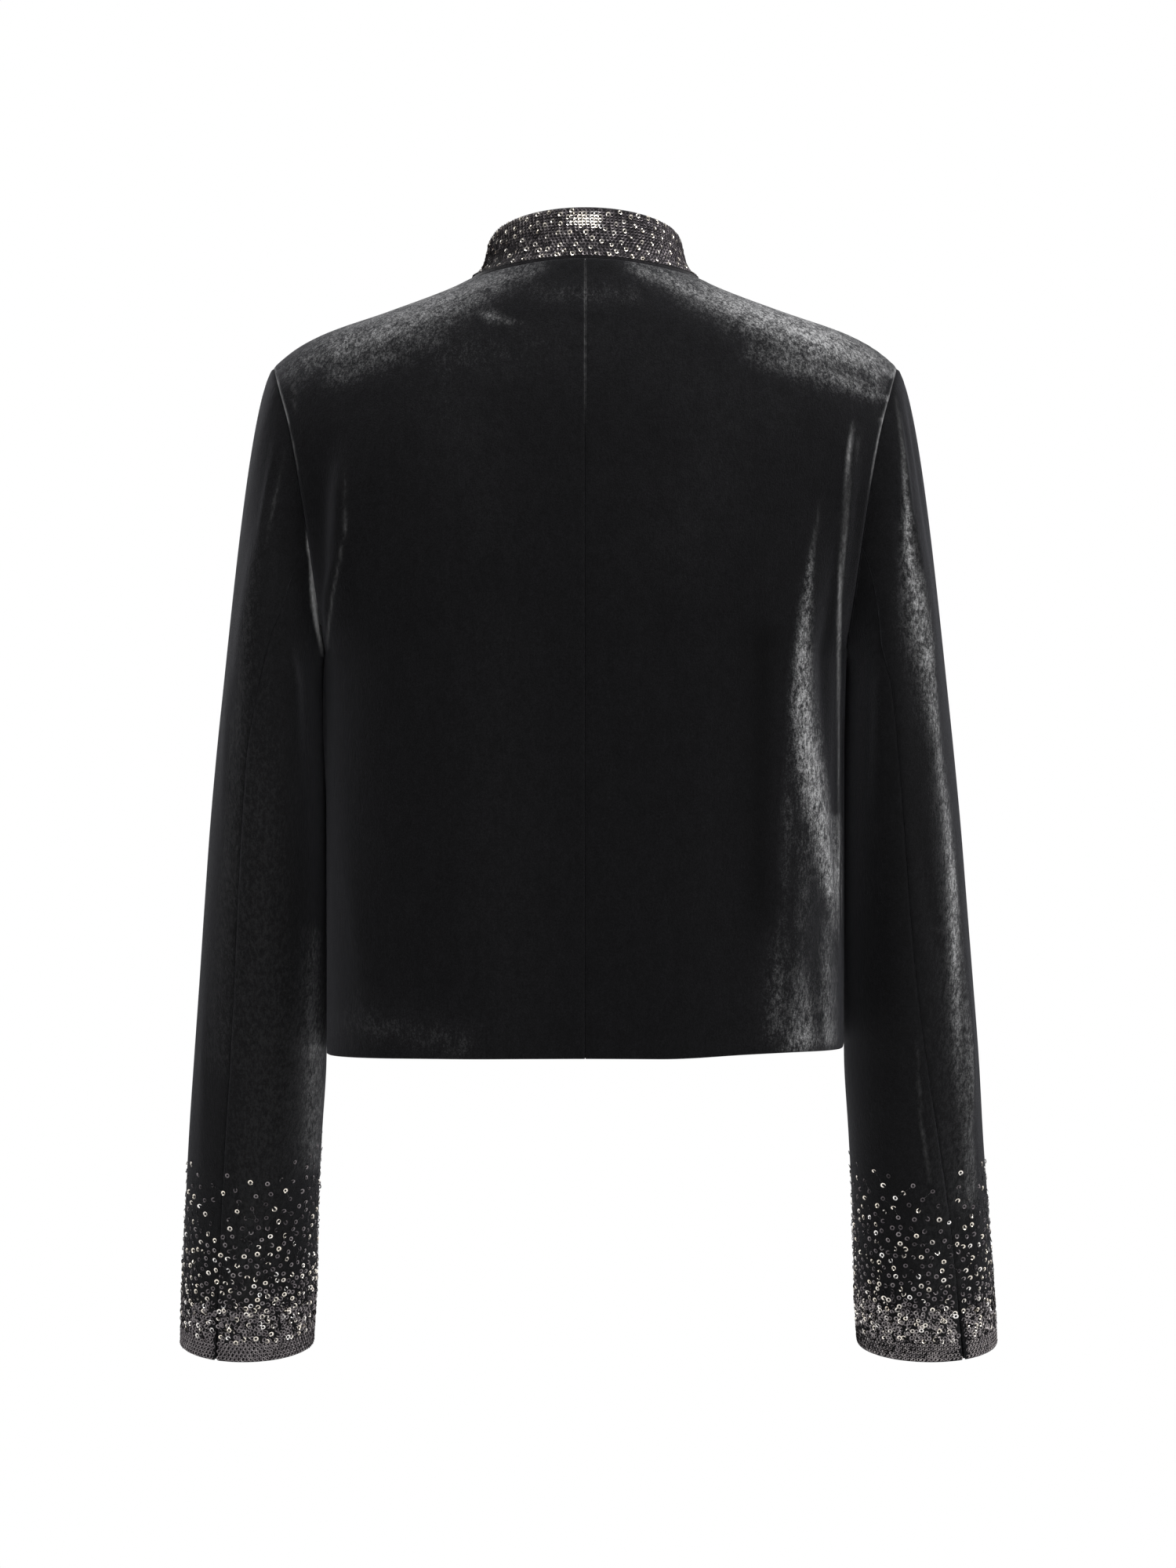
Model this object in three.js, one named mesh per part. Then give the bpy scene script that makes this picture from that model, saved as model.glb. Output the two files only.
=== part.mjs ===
// A cropped velvet jacket with a stand collar and two-piece sleeves, worn open at neck, hem and cuffs,
// as a three.js scene graph of closed solids: one wall of cloth for each piece that a maker cuts.
// Units are millimetres, +Z is up, the wearer faces -Y and the wearer's left is +X.
// The origin is the middle of the neck, level with the inner ends of the shoulder seams.
import * as THREE from "three";

// Driving sizes
const CLOTH = 2.0; // velvet, its backing and its seam turnings, as one wall
const SEAM_GAP = 0.3; // between two pieces that are sewn together
const FRONT_GAP = 2.0; // between the two front edges
const SHOULDER_TIP = -59; // height of the outer end of the shoulder seam
const UNDERARM = -245; // height of the lowest point of the armhole
const CUFF_RING = -262; // height where the sleeve first goes all round the arm
const ROWS_BELOW_ARMHOLE = 11;
const ARMHOLE_STEPS = 12; // from the shoulder tip to the underarm, back or front
const BODY_COLUMNS = 15; // from centre back to the side, and from there to centre front
const COLLAR_ROWS = 4;
const HALF_GAP = (SEAM_GAP + 0.1) / 2; // drawn in from each side of a seam, with a little for facets
const ARMHOLE_HALF_GAP = 0.25; // the same at the armhole, which twists more
const ELLIPSE = 2; // the exponent of an elliptical ring
const DEGREE = Math.PI / 180;

// Body rings from hem to neck. side, back and front are the heights of a ring at its side, centre back
// and centre front. roundBack and roundFront are the exponents of its outline: 2 is an ellipse, and more
// is squarer. Beside the armhole a ring's sides run on past the armhole, which cuts them off.
const BODY_RINGS = table(
  ["side", "back", "front", "halfWidth", "depthBack", "depthFront", "roundBack", "roundFront"],
  [
    [-495, -493.5, -497, 164.5, 100, 108, 2.5, 2.4],
    [-430, -430, -431, 164.6, 103, 113, 2.5, 2.4],
    [-340, -340, -341, 164.8, 106, 121, 2.55, 2.4],
    [-245, -244, -247, 165, 108, 126, 2.65, 2.4],
    [-225, -224, -228, 171.5, 108, 125, 2.6, 2.35],
    [-200, -199, -204, 182, 107.5, 123, 2.5, 2.25],
    [-154, -152, -161, 200, 105, 117, 2.25, 2.1],
    [-130, -128, -140, 208, 102, 113, 2.2, 2.05],
    [-100, -98, -114, 214, 97.5, 107, 2.1, 2.0],
    [-77, -75, -98, 211, 92.5, 102, 2.05, 2.0],
    [-59, -56, -86, 198.5, 88, 98, 2.0, 2.0],
    [-49, -45, -79, 187, 85, 95, 2.0, 2.0],
    [-39, -35, -73, 169.5, 81.5, 92, 2.0, 2.0],
    [-24, -18.5, -64, 127, 75, 87, 2.0, 2.0],
    [-9, -2, -54, 86.5, 67, 81, 2.0, 2.0],
    [-3, 5.4, -50, 74, 62, 78, 2.0, 2.0],
  ],
);

// Collar rings from the neck seam to the top edge. rise is the share of the collar's height. slope is
// 0 for a ring that is level at its sides and 1 for one that slopes evenly there, down to the front.
const COLLAR_RINGS = table(
  ["rise", "side", "back", "front", "halfWidth", "depthBack", "depthFront", "slope"],
  [
    [0, -3, 5.4, -50, 74, 62, 78, 0],
    [0.2, 1.5, 12, -44, 66.5, 58.5, 72, 0.35],
    [0.5, 7.5, 21.5, -34, 63.5, 55.5, 67, 0.75],
    [1, 18, 37.5, -17, 61, 52, 62, 1],
  ],
);

// How far from the middle of the body the armhole's edge lies, at the back and at the front.
const ARMHOLE_EDGES = table(
  ["level", "back", "front"],
  [
    [-59, 198.5, 198.5],
    [-77, 193, 190.5],
    [-100, 186.5, 181.5],
    [-130, 180.5, 174.5],
    [-160, 175.5, 171.5],
    [-200, 170, 169],
    [-225, 166.6, 166.5],
    [-238, 165.2, 165.2],
    [-245, 165, 165],
  ],
);

// Sleeve rings, from the armpit to the cuff. inner is the side next to the body, and outerLeft and
// outerRight are the sides away from it. pitch is how far a ring tips as the forearm hangs forward.
const SLEEVE_RINGS = table(
  ["height", "inner", "outerLeft", "outerRight", "centreY", "halfDepth", "pitch"],
  [
    [-262, 168, 230.5, 230.5, -2, 68, 0],
    [-300, 166.4, 234.6, 234.6, -3, 66, 1.5],
    [-350, 166.2, 239.4, 239.6, -6, 62, 3],
    [-400, 166.2, 243.4, 244, -11, 57, 5],
    [-450, 166.2, 247.3, 248.5, -18, 52, 7],
    [-500, 166.8, 251.5, 253, -27, 48, 9],
    [-550, 169.8, 255.6, 256.5, -37, 44.5, 11],
    [-600, 172.8, 258.8, 260.8, -47, 41.5, 12.5],
    [-650, 174.6, 261.6, 265, -57, 38.5, 14],
    [-686.5, 177, 263, 267.5, -64, 36.5, 15],
  ],
);
const SLEEVE_ROWS = { cap: 9, arm: 17 }; // rows of faces above and below the armpit ring
const VENT = { share: 0.08, width: 3 }; // slit in the back seam above the cuff's edge, as wide as this there

// Where the back and front seams of a two-piece sleeve run, as angles round the arm:
// 0 is away from the body, 90 is the back and 180 is next to the body. down is 0 at the armhole.
const LEFT_SLEEVE_SEAMS = table(
  ["down", "back", "front"],
  [
    [0, 105, 240],
    [0.18, 100, 240],
    [0.34, 79, 238],
    [0.42, 69, 236],
    [1, 65, 232],
  ],
);
const RIGHT_SLEEVE_SEAMS = table(
  ["down", "back", "front"],
  [
    [0, 105, 240],
    [0.24, 112, 240],
    [0.38, 99, 239],
    [0.62, 87, 237],
    [0.85, 68, 234],
    [1, 61, 232],
  ],
);

// The largest folds of the body: soft ridges (rise above 0) and troughs (rise below 0) that run between
// two heights. wearerSide is 1 on the wearer's left; angle is measured from centre back.
const BODY_FOLDS = table(
  ["wearerSide", "top", "topAngle", "bottom", "bottomAngle", "width", "rise"],
  [
    [1, -85, 58, -262, 74, 13, 5.0],
    [1, -95, 67, -236, 72, 9, -4.5],
    [-1, -75, 66, -300, 82, 10, 4.5],
    [-1, -90, 71, -215, 69, 7, -3.0],
    [-1, -150, 58, -560, 62, 20, 4.5],
    [-1, -190, 45, -600, 47, 20, -3.5],
    [1, -300, 48, -640, 52, 24, -2.5],
    [1, -140, 128, -560, 136, 22, 3.5],
    [-1, -160, 130, -560, 133, 24, 3.5],
  ],
);

// The largest folds of the sleeves, in the same way, with down and angle as for the sleeve seams.
const SLEEVE_FOLDS = table(
  ["wearerSide", "top", "topAngle", "bottom", "bottomAngle", "width", "rise"],
  [
    [-1, 0.03, 62, 0.42, 40, 12, 3.5],
    [-1, 0.1, 82, 0.5, 74, 14, -3.0],
    [-1, 0.45, 36, 0.97, 42, 13, 3.0],
    [1, 0.08, 70, 0.4, 48, 12, 3.0],
    [1, 0.16, 96, 0.5, 84, 13, -3.0],
    [1, 0.5, 120, 0.92, 112, 15, 3.0],
    [1, 0.4, 300, 0.62, 250, 14, -3.0],
    [-1, 0.4, 300, 0.62, 250, 14, -3.0],
  ],
);

const MM_PER_DEGREE = { body: 2.1, sleeve: 0.88 }; // cloth in one degree round the body or the arm
const FOLD_TAPER = 1.5; // how sharply a fold dies out at its ends: more is sharper
const FOLD_FADE = { centre: 8, side: 5, armhole: 7 }; // degrees over which folds die out at seams
const CAP_FADE = 0.06; // the share of a sleeve over which they die out at the armhole

// How the sleeve's head leaves the armhole seam: outward, backward and upward, in mm. Each has an even
// part, one that follows the cosine of the turn and one that follows the cosine of twice the turn.
const HEAD_HANDLE = { outward: [11.2, 4.6, -3.0], backward: 6, upward: [-14.2, -6.5, 7.7] };
const ARM_REACH = 0.4; // how straight the head runs into the armpit ring, as a share of its length

// The small steps over which the surfaces' normals are measured.
const SMALL = { level: 0.4, angle: 0.4, down: 0.002, turn: 0.8, rise: 0.01 };

const LOOKS = {
  velvet: { color: 0x0b0b0d, roughness: 0.95, metalness: 0 },
  sequins: { color: 0x55535a, roughness: 0.35, metalness: 0.6 },
};

// A list of rows, each read by its columns' names.
function table(columns, rows) {
  return rows.map((row) => Object.fromEntries(columns.map((name, i) => [name, row[i]])));
}

// A column of a table at a value of its key, along smooth curves that never overshoot the rows.
function tableValue(rows, key, at, column) {
  const last = rows.length - 1;
  const slope = (i) => (rows[i + 1][column] - rows[i][column]) / (rows[i + 1][key] - rows[i][key]);
  const tangent = (i) => {
    if (i === 0) return slope(0);
    if (i === last) return slope(last - 1);
    const before = slope(i - 1);
    const after = slope(i);
    return before * after <= 0 ? 0 : (2 * before * after) / (before + after);
  };
  const rising = rows[last][key] > rows[0][key];
  let i = 0;
  while (i < last - 1 && (rising ? at > rows[i + 1][key] : at < rows[i + 1][key])) i += 1;
  const span = rows[i + 1][key] - rows[i][key];
  const t = THREE.MathUtils.clamp((at - rows[i][key]) / span, 0, 1);
  const from = rows[i][column];
  const to = rows[i + 1][column];
  const smooth = t * t * (3 - 2 * t);
  const bend = t * (1 - t) * ((1 - t) * tangent(i) - t * tangent(i + 1)) * span;
  return from + (to - from) * smooth + bend;
}

// A point of a ring round the neck or body. angle is 0 at centre back, 90 at the side, 180 at centre front.
function ringPoint(ring, angle, wearerSide) {
  const across = Math.sin(angle * DEGREE);
  const behind = Math.cos(angle * DEGREE);
  const atBack = behind > 0;
  const depth = atBack ? ring.depthBack : ring.depthFront;
  const round = (atBack ? ring.roundBack : ring.roundFront) ?? ELLIPSE;
  const reach =
    ((Math.abs(across) / ring.halfWidth) ** round + (Math.abs(behind) / depth) ** round) ** (-1 / round);
  const end = atBack ? ring.back : ring.front;
  const level = ring.side + (end - ring.side) * behind * behind;
  const tilt = (ring.back - ring.front) / 2;
  const sloping = ring.side + tilt * behind + (ring.back - tilt - ring.side) * behind * behind;
  const height = level + (sloping - level) * (ring.slope ?? 0);
  return new THREE.Vector3(wearerSide * reach * across, reach * behind, height);
}

function readRing(rows, key, at) {
  const ring = {};
  for (const column of Object.keys(rows[0])) ring[column] = tableValue(rows, key, at, column);
  ring[key] = at;
  return ring;
}

const smoothBody = (level, angle, side) => ringPoint(readRing(BODY_RINGS, "side", level), angle, side);

// The unit normal of a surface of two parameters, turned by flip so that it points out of the garment.
function normalOf(surface, a, b, stepA, stepB, flip) {
  const alongA = surface(a + stepA, b).sub(surface(a - stepA, b));
  const alongB = surface(a, b + stepB).sub(surface(a, b - stepB));
  return alongA.cross(alongB).multiplyScalar(flip).normalize();
}

// How far one fold moves the cloth at a place that is across mm from the fold's line.
function foldHeight(fold, share, across) {
  if (share <= 0 || share >= 1) return 0;
  const taper = Math.sin(Math.PI * share) ** FOLD_TAPER;
  return fold.rise * taper * Math.exp(-((across / fold.width) ** 2));
}

// The angle round the body where the armhole's edge cuts a ring between shoulder tip and underarm.
function armholeAngle(level, atBack) {
  const ring = readRing(BODY_RINGS, "side", level);
  const edge = tableValue(ARMHOLE_EDGES, "level", level, atBack ? "back" : "front");
  const round = atBack ? ring.roundBack : ring.roundFront;
  const depth = atBack ? ring.depthBack : -ring.depthFront;
  const share = Math.min(1, edge / ring.halfWidth);
  return Math.atan2(edge, depth * (1 - share ** round) ** (1 / round)) / DEGREE;
}

function armholeCosine(level) {
  const middle = (SHOULDER_TIP + UNDERARM) / 2;
  return THREE.MathUtils.clamp((level - middle) / ((SHOULDER_TIP - UNDERARM) / 2), -1, 1);
}

const armholeLevel = (turn) =>
  (SHOULDER_TIP + UNDERARM) / 2 + ((SHOULDER_TIP - UNDERARM) / 2) * Math.cos(turn * DEGREE);

// 0 at the armhole's edge, rising to 1 a few degrees away, so that folds die out at that seam.
function clearOfArmhole(level, angle) {
  if (level <= UNDERARM || level >= SHOULDER_TIP) return 1;
  const away = angle <= 90 ? armholeAngle(level, true) - angle : angle - armholeAngle(level, false);
  return THREE.MathUtils.smoothstep(away, 0, FOLD_FADE.armhole);
}

function bodyFolds(level, angle, wearerSide) {
  let rise = 0;
  for (const fold of BODY_FOLDS) {
    if (fold.wearerSide !== wearerSide) continue;
    const share = (fold.top - level) / (fold.top - fold.bottom);
    const centre = fold.topAngle + (fold.bottomAngle - fold.topAngle) * share;
    rise += foldHeight(fold, share, (angle - centre) * MM_PER_DEGREE.body);
  }
  const fromCentre = Math.min(angle, 180 - angle) / FOLD_FADE.centre;
  const fromSide = Math.abs(angle - 90) / FOLD_FADE.side;
  return rise * Math.min(1, fromCentre, fromSide) * clearOfArmhole(level, angle);
}

function bodyPoint(level, angle, wearerSide) {
  const flat = smoothBody(level, angle, wearerSide);
  const rise = bodyFolds(level, angle, wearerSide);
  if (rise === 0) return flat;
  const surface = (l, a) => smoothBody(l, a, wearerSide);
  const normal = normalOf(surface, level, angle, SMALL.level, SMALL.angle, wearerSide);
  return flat.addScaledVector(normal, rise);
}

// A point of the armhole's edge. turn is 0 at the shoulder tip, 90 at the back, 180 under the arm.
function armholePoint(turn, wearerSide) {
  const level = armholeLevel(turn);
  const atBack = Math.sin(turn * DEGREE) >= 0;
  return smoothBody(level, armholeAngle(level, atBack), wearerSide);
}

function sleeveRingPoint(height, turn, wearerSide) {
  const value = (column) => tableValue(SLEEVE_RINGS, "height", height, column);
  const outer = value(wearerSide > 0 ? "outerLeft" : "outerRight");
  const outward = Math.cos(turn * DEGREE) * ((outer - value("inner")) / 2);
  const back = Math.sin(turn * DEGREE) * value("halfDepth");
  const pitch = value("pitch") * DEGREE;
  const centreX = (outer + value("inner")) / 2;
  return new THREE.Vector3(
    wearerSide * (centreX + outward),
    value("centreY") + back * Math.cos(pitch),
    height - back * Math.sin(pitch),
  );
}

function headHandle(turn, wearerSide) {
  const waves = [1, Math.cos(turn * DEGREE), Math.cos(2 * turn * DEGREE)];
  const along = (parts) => parts.reduce((sum, part, i) => sum + part * waves[i], 0);
  const back = HEAD_HANDLE.backward * Math.sin(turn * DEGREE);
  return new THREE.Vector3(wearerSide * along(HEAD_HANDLE.outward), back, along(HEAD_HANDLE.upward));
}

const CAP_SHARE = SLEEVE_ROWS.cap / (SLEEVE_ROWS.cap + SLEEVE_ROWS.arm);

// A point of the sleeve without its folds. down is 0 at the armhole and 1 at the cuff.
function smoothSleeve(down, turn, wearerSide) {
  const cuffHeight = SLEEVE_RINGS[SLEEVE_RINGS.length - 1].height;
  if (down >= CAP_SHARE) {
    const share = (down - CAP_SHARE) / (1 - CAP_SHARE);
    return sleeveRingPoint(CUFF_RING + (cuffHeight - CUFF_RING) * share, turn, wearerSide);
  }
  const start = armholePoint(turn, wearerSide);
  const end = sleeveRingPoint(CUFF_RING, turn, wearerSide);
  const below = sleeveRingPoint(CUFF_RING - 1, turn, wearerSide);
  const fall = below.sub(end).normalize();
  const reach = ARM_REACH * start.distanceTo(end);
  const curve = new THREE.CubicBezierCurve3(
    start,
    start.clone().add(headHandle(turn, wearerSide)),
    end.clone().addScaledVector(fall, -reach),
    end,
  );
  return curve.getPoint(down / CAP_SHARE);
}

function sleeveFolds(down, turn, wearerSide) {
  let rise = 0;
  const around = ((turn % 360) + 360) % 360;
  for (const fold of SLEEVE_FOLDS) {
    if (fold.wearerSide !== wearerSide) continue;
    const share = (down - fold.top) / (fold.bottom - fold.top);
    const centre = fold.topAngle + (fold.bottomAngle - fold.topAngle) * share;
    const apart = ((around - centre + 540) % 360) - 180;
    rise += foldHeight(fold, share, apart * MM_PER_DEGREE.sleeve);
  }
  return rise * THREE.MathUtils.smoothstep(down, 0, CAP_FADE);
}

function sleevePoint(down, turn, wearerSide) {
  const flat = smoothSleeve(down, turn, wearerSide);
  const rise = sleeveFolds(down, turn, wearerSide);
  if (rise === 0) return flat;
  const surface = (d, t) => smoothSleeve(d, t, wearerSide);
  const normal = normalOf(surface, down, turn, SMALL.down, SMALL.turn, wearerSide);
  return flat.addScaledVector(normal, rise);
}

const collarPoint = (rise, angle, side) => ringPoint(readRing(COLLAR_RINGS, "rise", rise), angle, side);

// Normals, with one shared normal along the seams where two surfaces meet at an angle.
const bodyNormal = (level, angle, side) =>
  normalOf((l, a) => bodyPoint(l, a, side), level, angle, SMALL.level, SMALL.angle, side);
const sleeveNormal = (down, turn, side) =>
  normalOf((d, t) => sleevePoint(d, t, side), down, turn, SMALL.down, SMALL.turn, side);
const collarNormal = (rise, angle, side) =>
  normalOf((r, a) => collarPoint(r, a, side), rise, angle, SMALL.rise, SMALL.angle, side);

// The armhole seam at a turn: a point of the edge, set half the seam's gap into the body (-1) or into the
// sleeve (1), and the direction that halves the angle between the two.
function armholeSeam(turn, wearerSide, into) {
  const level = armholeLevel(turn);
  const atBack = Math.sin(turn * DEGREE) >= 0;
  const body = bodyNormal(level, armholeAngle(level, atBack), wearerSide);
  const normal = body.add(sleeveNormal(SMALL.down, turn, wearerSide)).normalize();
  const along = armholePoint(turn + 1, wearerSide).sub(armholePoint(turn - 1, wearerSide));
  const across = along.cross(normal).normalize();
  const point = armholePoint(turn, wearerSide).addScaledVector(across, into * wearerSide * ARMHOLE_HALF_GAP);
  return { point, normal };
}

const neckMitre = (angle, side) =>
  bodyNormal(BODY_RINGS[BODY_RINGS.length - 1].side - SMALL.level, angle, side)
    .add(collarNormal(SMALL.rise, angle, side))
    .normalize();

// A closed wall of cloth from a grid of outer points and their normals. facing turns the faces out.
// Each quad is split along its shorter diagonal, so that the two sides of a seam match.
function wallGeometry(points, normals, facing) {
  const rows = points.length;
  const columns = points[0].length;
  const positions = [];
  for (const row of points) row.forEach((p) => positions.push(p.x, p.y, p.z));
  points.forEach((row, i) =>
    row.forEach((p, j) => {
      const inner = p.clone().addScaledVector(normals[i][j], -CLOTH);
      positions.push(inner.x, inner.y, inner.z);
    }),
  );
  const outer = (i, j) => i * columns + j;
  const inner = (i, j) => rows * columns + i * columns + j;
  const faces = [];
  const corner = (index) => new THREE.Vector3().fromArray(positions, 3 * index);
  const quad = (...around) => {
    const [a, b, c, d] = facing > 0 ? around : around.reverse();
    const shorter = corner(a).distanceTo(corner(c)) < corner(b).distanceTo(corner(d));
    faces.push(...(shorter ? [a, b, c, a, c, d] : [b, c, d, b, d, a]));
  };
  for (let i = 0; i < rows - 1; i += 1) {
    for (let j = 0; j < columns - 1; j += 1) {
      quad(outer(i, j), outer(i, j + 1), outer(i + 1, j + 1), outer(i + 1, j));
      quad(inner(i, j), inner(i + 1, j), inner(i + 1, j + 1), inner(i, j + 1));
    }
    quad(outer(i, 0), outer(i + 1, 0), inner(i + 1, 0), inner(i, 0));
    quad(outer(i, columns - 1), inner(i, columns - 1), inner(i + 1, columns - 1), outer(i + 1, columns - 1));
  }
  for (let j = 0; j < columns - 1; j += 1) {
    quad(outer(0, j), inner(0, j), inner(0, j + 1), outer(0, j + 1));
    quad(outer(rows - 1, j), outer(rows - 1, j + 1), inner(rows - 1, j + 1), inner(rows - 1, j));
  }
  const geometry = new THREE.BufferGeometry();
  geometry.setAttribute("position", new THREE.Float32BufferAttribute(positions, 3));
  geometry.setIndex(faces);
  geometry.computeVertexNormals();
  return geometry;
}

// Draws a grid's edges in from its seams by half the gap. rowEnds says which rows are drawn in at the end.
function drawIn(points, edges, rowEnds = () => true) {
  const lastRow = points.length - 1;
  const lastColumn = points[0].length - 1;
  const nudge = (point, inside) =>
    point.addScaledVector(inside.clone().sub(point).normalize(), HALF_GAP);
  points.forEach((row, i) => {
    if (edges.first) nudge(row[0], row[1]);
    if (edges.last && rowEnds(i)) nudge(row[lastColumn], row[lastColumn - 1]);
  });
  points[0].forEach((p, j) => edges.bottom && nudge(p, points[1][j]));
  points[lastRow].forEach((p, j) => edges.top && nudge(p, points[lastRow - 1][j]));
}

function cloth(name, look, geometry) {
  const mesh = new THREE.Mesh(geometry, new THREE.MeshStandardMaterial(LOOKS[look]));
  mesh.name = name;
  return mesh;
}

// The heights of a body panel's rows: even below the armhole, even in turn beside it, and along the
// rings of the table over the shoulder.
function bodyLevels() {
  const hem = BODY_RINGS[0].side;
  const step = (UNDERARM - hem) / ROWS_BELOW_ARMHOLE;
  const levels = [];
  for (let i = 0; i < ROWS_BELOW_ARMHOLE; i += 1) levels.push(hem + step * i);
  for (let i = 0; i <= ARMHOLE_STEPS; i += 1) levels.push(armholeLevel(180 - (180 * i) / ARMHOLE_STEPS));
  for (const ring of BODY_RINGS) if (ring.side > SHOULDER_TIP) levels.push(ring.side);
  return levels;
}

function bodyPanel(name, atBack, wearerSide) {
  const neck = BODY_RINGS[BODY_RINGS.length - 1].side;
  const levels = bodyLevels();
  const points = [];
  const normals = [];
  for (const level of levels) {
    const besideArmhole = level >= UNDERARM && level <= SHOULDER_TIP;
    const edge = besideArmhole ? armholeAngle(level, atBack) : 90;
    const turn = Math.acos(armholeCosine(level)) / DEGREE;
    const pointRow = [];
    const normalRow = [];
    for (let j = 0; j <= BODY_COLUMNS; j += 1) {
      const share = j / BODY_COLUMNS;
      const angle = atBack ? edge * share : 180 - (180 - edge) * share;
      let point = bodyPoint(level, angle, wearerSide);
      if (!atBack && j === 0) point.x = (wearerSide * FRONT_GAP) / 2;
      let normal = bodyNormal(Math.min(level, neck - SMALL.level), angle, wearerSide);
      if (besideArmhole && j === BODY_COLUMNS) {
        ({ point, normal } = armholeSeam(atBack ? turn : -turn, wearerSide, -1));
      }
      if (level === neck) normal = neckMitre(angle, wearerSide);
      pointRow.push(point);
      normalRow.push(normal);
    }
    points.push(pointRow);
    normals.push(normalRow);
  }
  const edges = { first: atBack, last: true, bottom: false, top: true };
  drawIn(points, edges, (i) => levels[i] <= UNDERARM || levels[i] >= SHOULDER_TIP);
  return cloth(name, "velvet", wallGeometry(points, normals, atBack ? -wearerSide : wearerSide));
}

function sleevePanel(name, isUpper, wearerSide) {
  const seams = wearerSide > 0 ? LEFT_SLEEVE_SEAMS : RIGHT_SLEEVE_SEAMS;
  const rows = SLEEVE_ROWS.cap + SLEEVE_ROWS.arm;
  const seam = (down, column) => tableValue(seams, "down", down, column);
  const stepAtArmhole = 180 / ARMHOLE_STEPS;
  const width = isUpper ? 360 + seam(0, "back") - seam(0, "front") : seam(0, "front") - seam(0, "back");
  const columns = Math.round(width / stepAtArmhole);
  const points = [];
  const normals = [];
  for (let i = 0; i <= rows; i += 1) {
    const down = i / rows;
    const start = isUpper ? seam(down, "front") : seam(down, "back");
    const end = isUpper ? seam(down, "back") + 360 : seam(down, "front");
    const pointRow = [];
    const normalRow = [];
    for (let j = 0; j <= columns; j += 1) {
      const turn = start + ((end - start) * j) / columns;
      const inside = THREE.MathUtils.clamp(down, SMALL.down, 1 - SMALL.down);
      const place =
        i === 0
          ? armholeSeam(turn, wearerSide, 1)
          : {
              point: sleevePoint(down, turn, wearerSide),
              normal: sleeveNormal(inside, turn, wearerSide),
            };
      pointRow.push(place.point);
      normalRow.push(place.normal);
    }
    points.push(pointRow);
    normals.push(normalRow);
  }
  drawIn(points, { first: true, last: true, bottom: false, top: false });
  points.forEach((row, i) => {
    const open = Math.max(0, 1 - (1 - i / rows) / VENT.share);
    const [edge, inside] = isUpper ? [row[columns], row[columns - 1]] : [row[0], row[1]];
    edge.addScaledVector(inside.clone().sub(edge).normalize(), (open * VENT.width) / 2);
  });
  return cloth(name, "velvet", wallGeometry(points, normals, -wearerSide));
}

// The collar goes from one front edge round the back of the neck to the other.
function collar(name) {
  const steps = 2 * BODY_COLUMNS;
  const points = [];
  const normals = [];
  for (let i = 0; i <= COLLAR_ROWS; i += 1) {
    const rise = i / COLLAR_ROWS;
    const pointRow = [];
    const normalRow = [];
    for (let j = -steps; j <= steps; j += 1) {
      const wearerSide = j < 0 ? -1 : 1;
      const angle = (180 * Math.abs(j)) / steps;
      const point = collarPoint(rise, angle, wearerSide);
      if (Math.abs(j) === steps) point.x = (wearerSide * FRONT_GAP) / 2;
      const inside = THREE.MathUtils.clamp(rise, SMALL.rise, 1 - SMALL.rise);
      pointRow.push(point);
      normalRow.push(i === 0 ? neckMitre(angle, wearerSide) : collarNormal(inside, angle, wearerSide));
    }
    points.push(pointRow);
    normals.push(normalRow);
  }
  drawIn(points, { first: false, last: false, bottom: true, top: false });
  return cloth(name, "sequins", wallGeometry(points, normals, -1));
}

const jacket = new THREE.Group();
for (const [sideName, wearerSide] of [["left", 1], ["right", -1]]) {
  jacket.add(
    bodyPanel("back_" + sideName, true, wearerSide),
    bodyPanel("front_" + sideName, false, wearerSide),
    sleevePanel("upper_sleeve_" + sideName, true, wearerSide),
    sleevePanel("under_sleeve_" + sideName, false, wearerSide),
  );
}
jacket.add(collar("collar"));

export default jacket;
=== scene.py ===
"""A cropped jacket of black velvet with a sequined stand collar and sequined cuffs.

The cloth pieces follow the same rings, armholes, seams and folds as the solids that they replace,
with finer creases, rolled seams, seam turnings and hems. Angles, heights and sizes in the tables are
in degrees and millimetres; meshes are in metres. The wearer faces -Y and their left is +X.
"""
import math

import bpy
import numpy as np
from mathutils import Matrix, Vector


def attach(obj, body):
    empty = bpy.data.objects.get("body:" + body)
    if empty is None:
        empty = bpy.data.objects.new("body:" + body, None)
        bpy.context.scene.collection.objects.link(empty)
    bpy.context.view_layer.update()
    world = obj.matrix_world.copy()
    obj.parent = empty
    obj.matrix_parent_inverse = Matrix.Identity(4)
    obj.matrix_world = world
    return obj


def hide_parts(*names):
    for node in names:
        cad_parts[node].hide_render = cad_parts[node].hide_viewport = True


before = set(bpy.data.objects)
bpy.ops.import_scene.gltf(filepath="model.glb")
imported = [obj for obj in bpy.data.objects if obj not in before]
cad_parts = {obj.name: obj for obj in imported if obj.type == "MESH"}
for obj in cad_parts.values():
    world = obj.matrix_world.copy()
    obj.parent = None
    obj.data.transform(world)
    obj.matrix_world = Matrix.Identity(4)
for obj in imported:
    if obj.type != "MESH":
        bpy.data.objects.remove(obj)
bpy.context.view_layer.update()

MM = 0.001
SEED = 20

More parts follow.
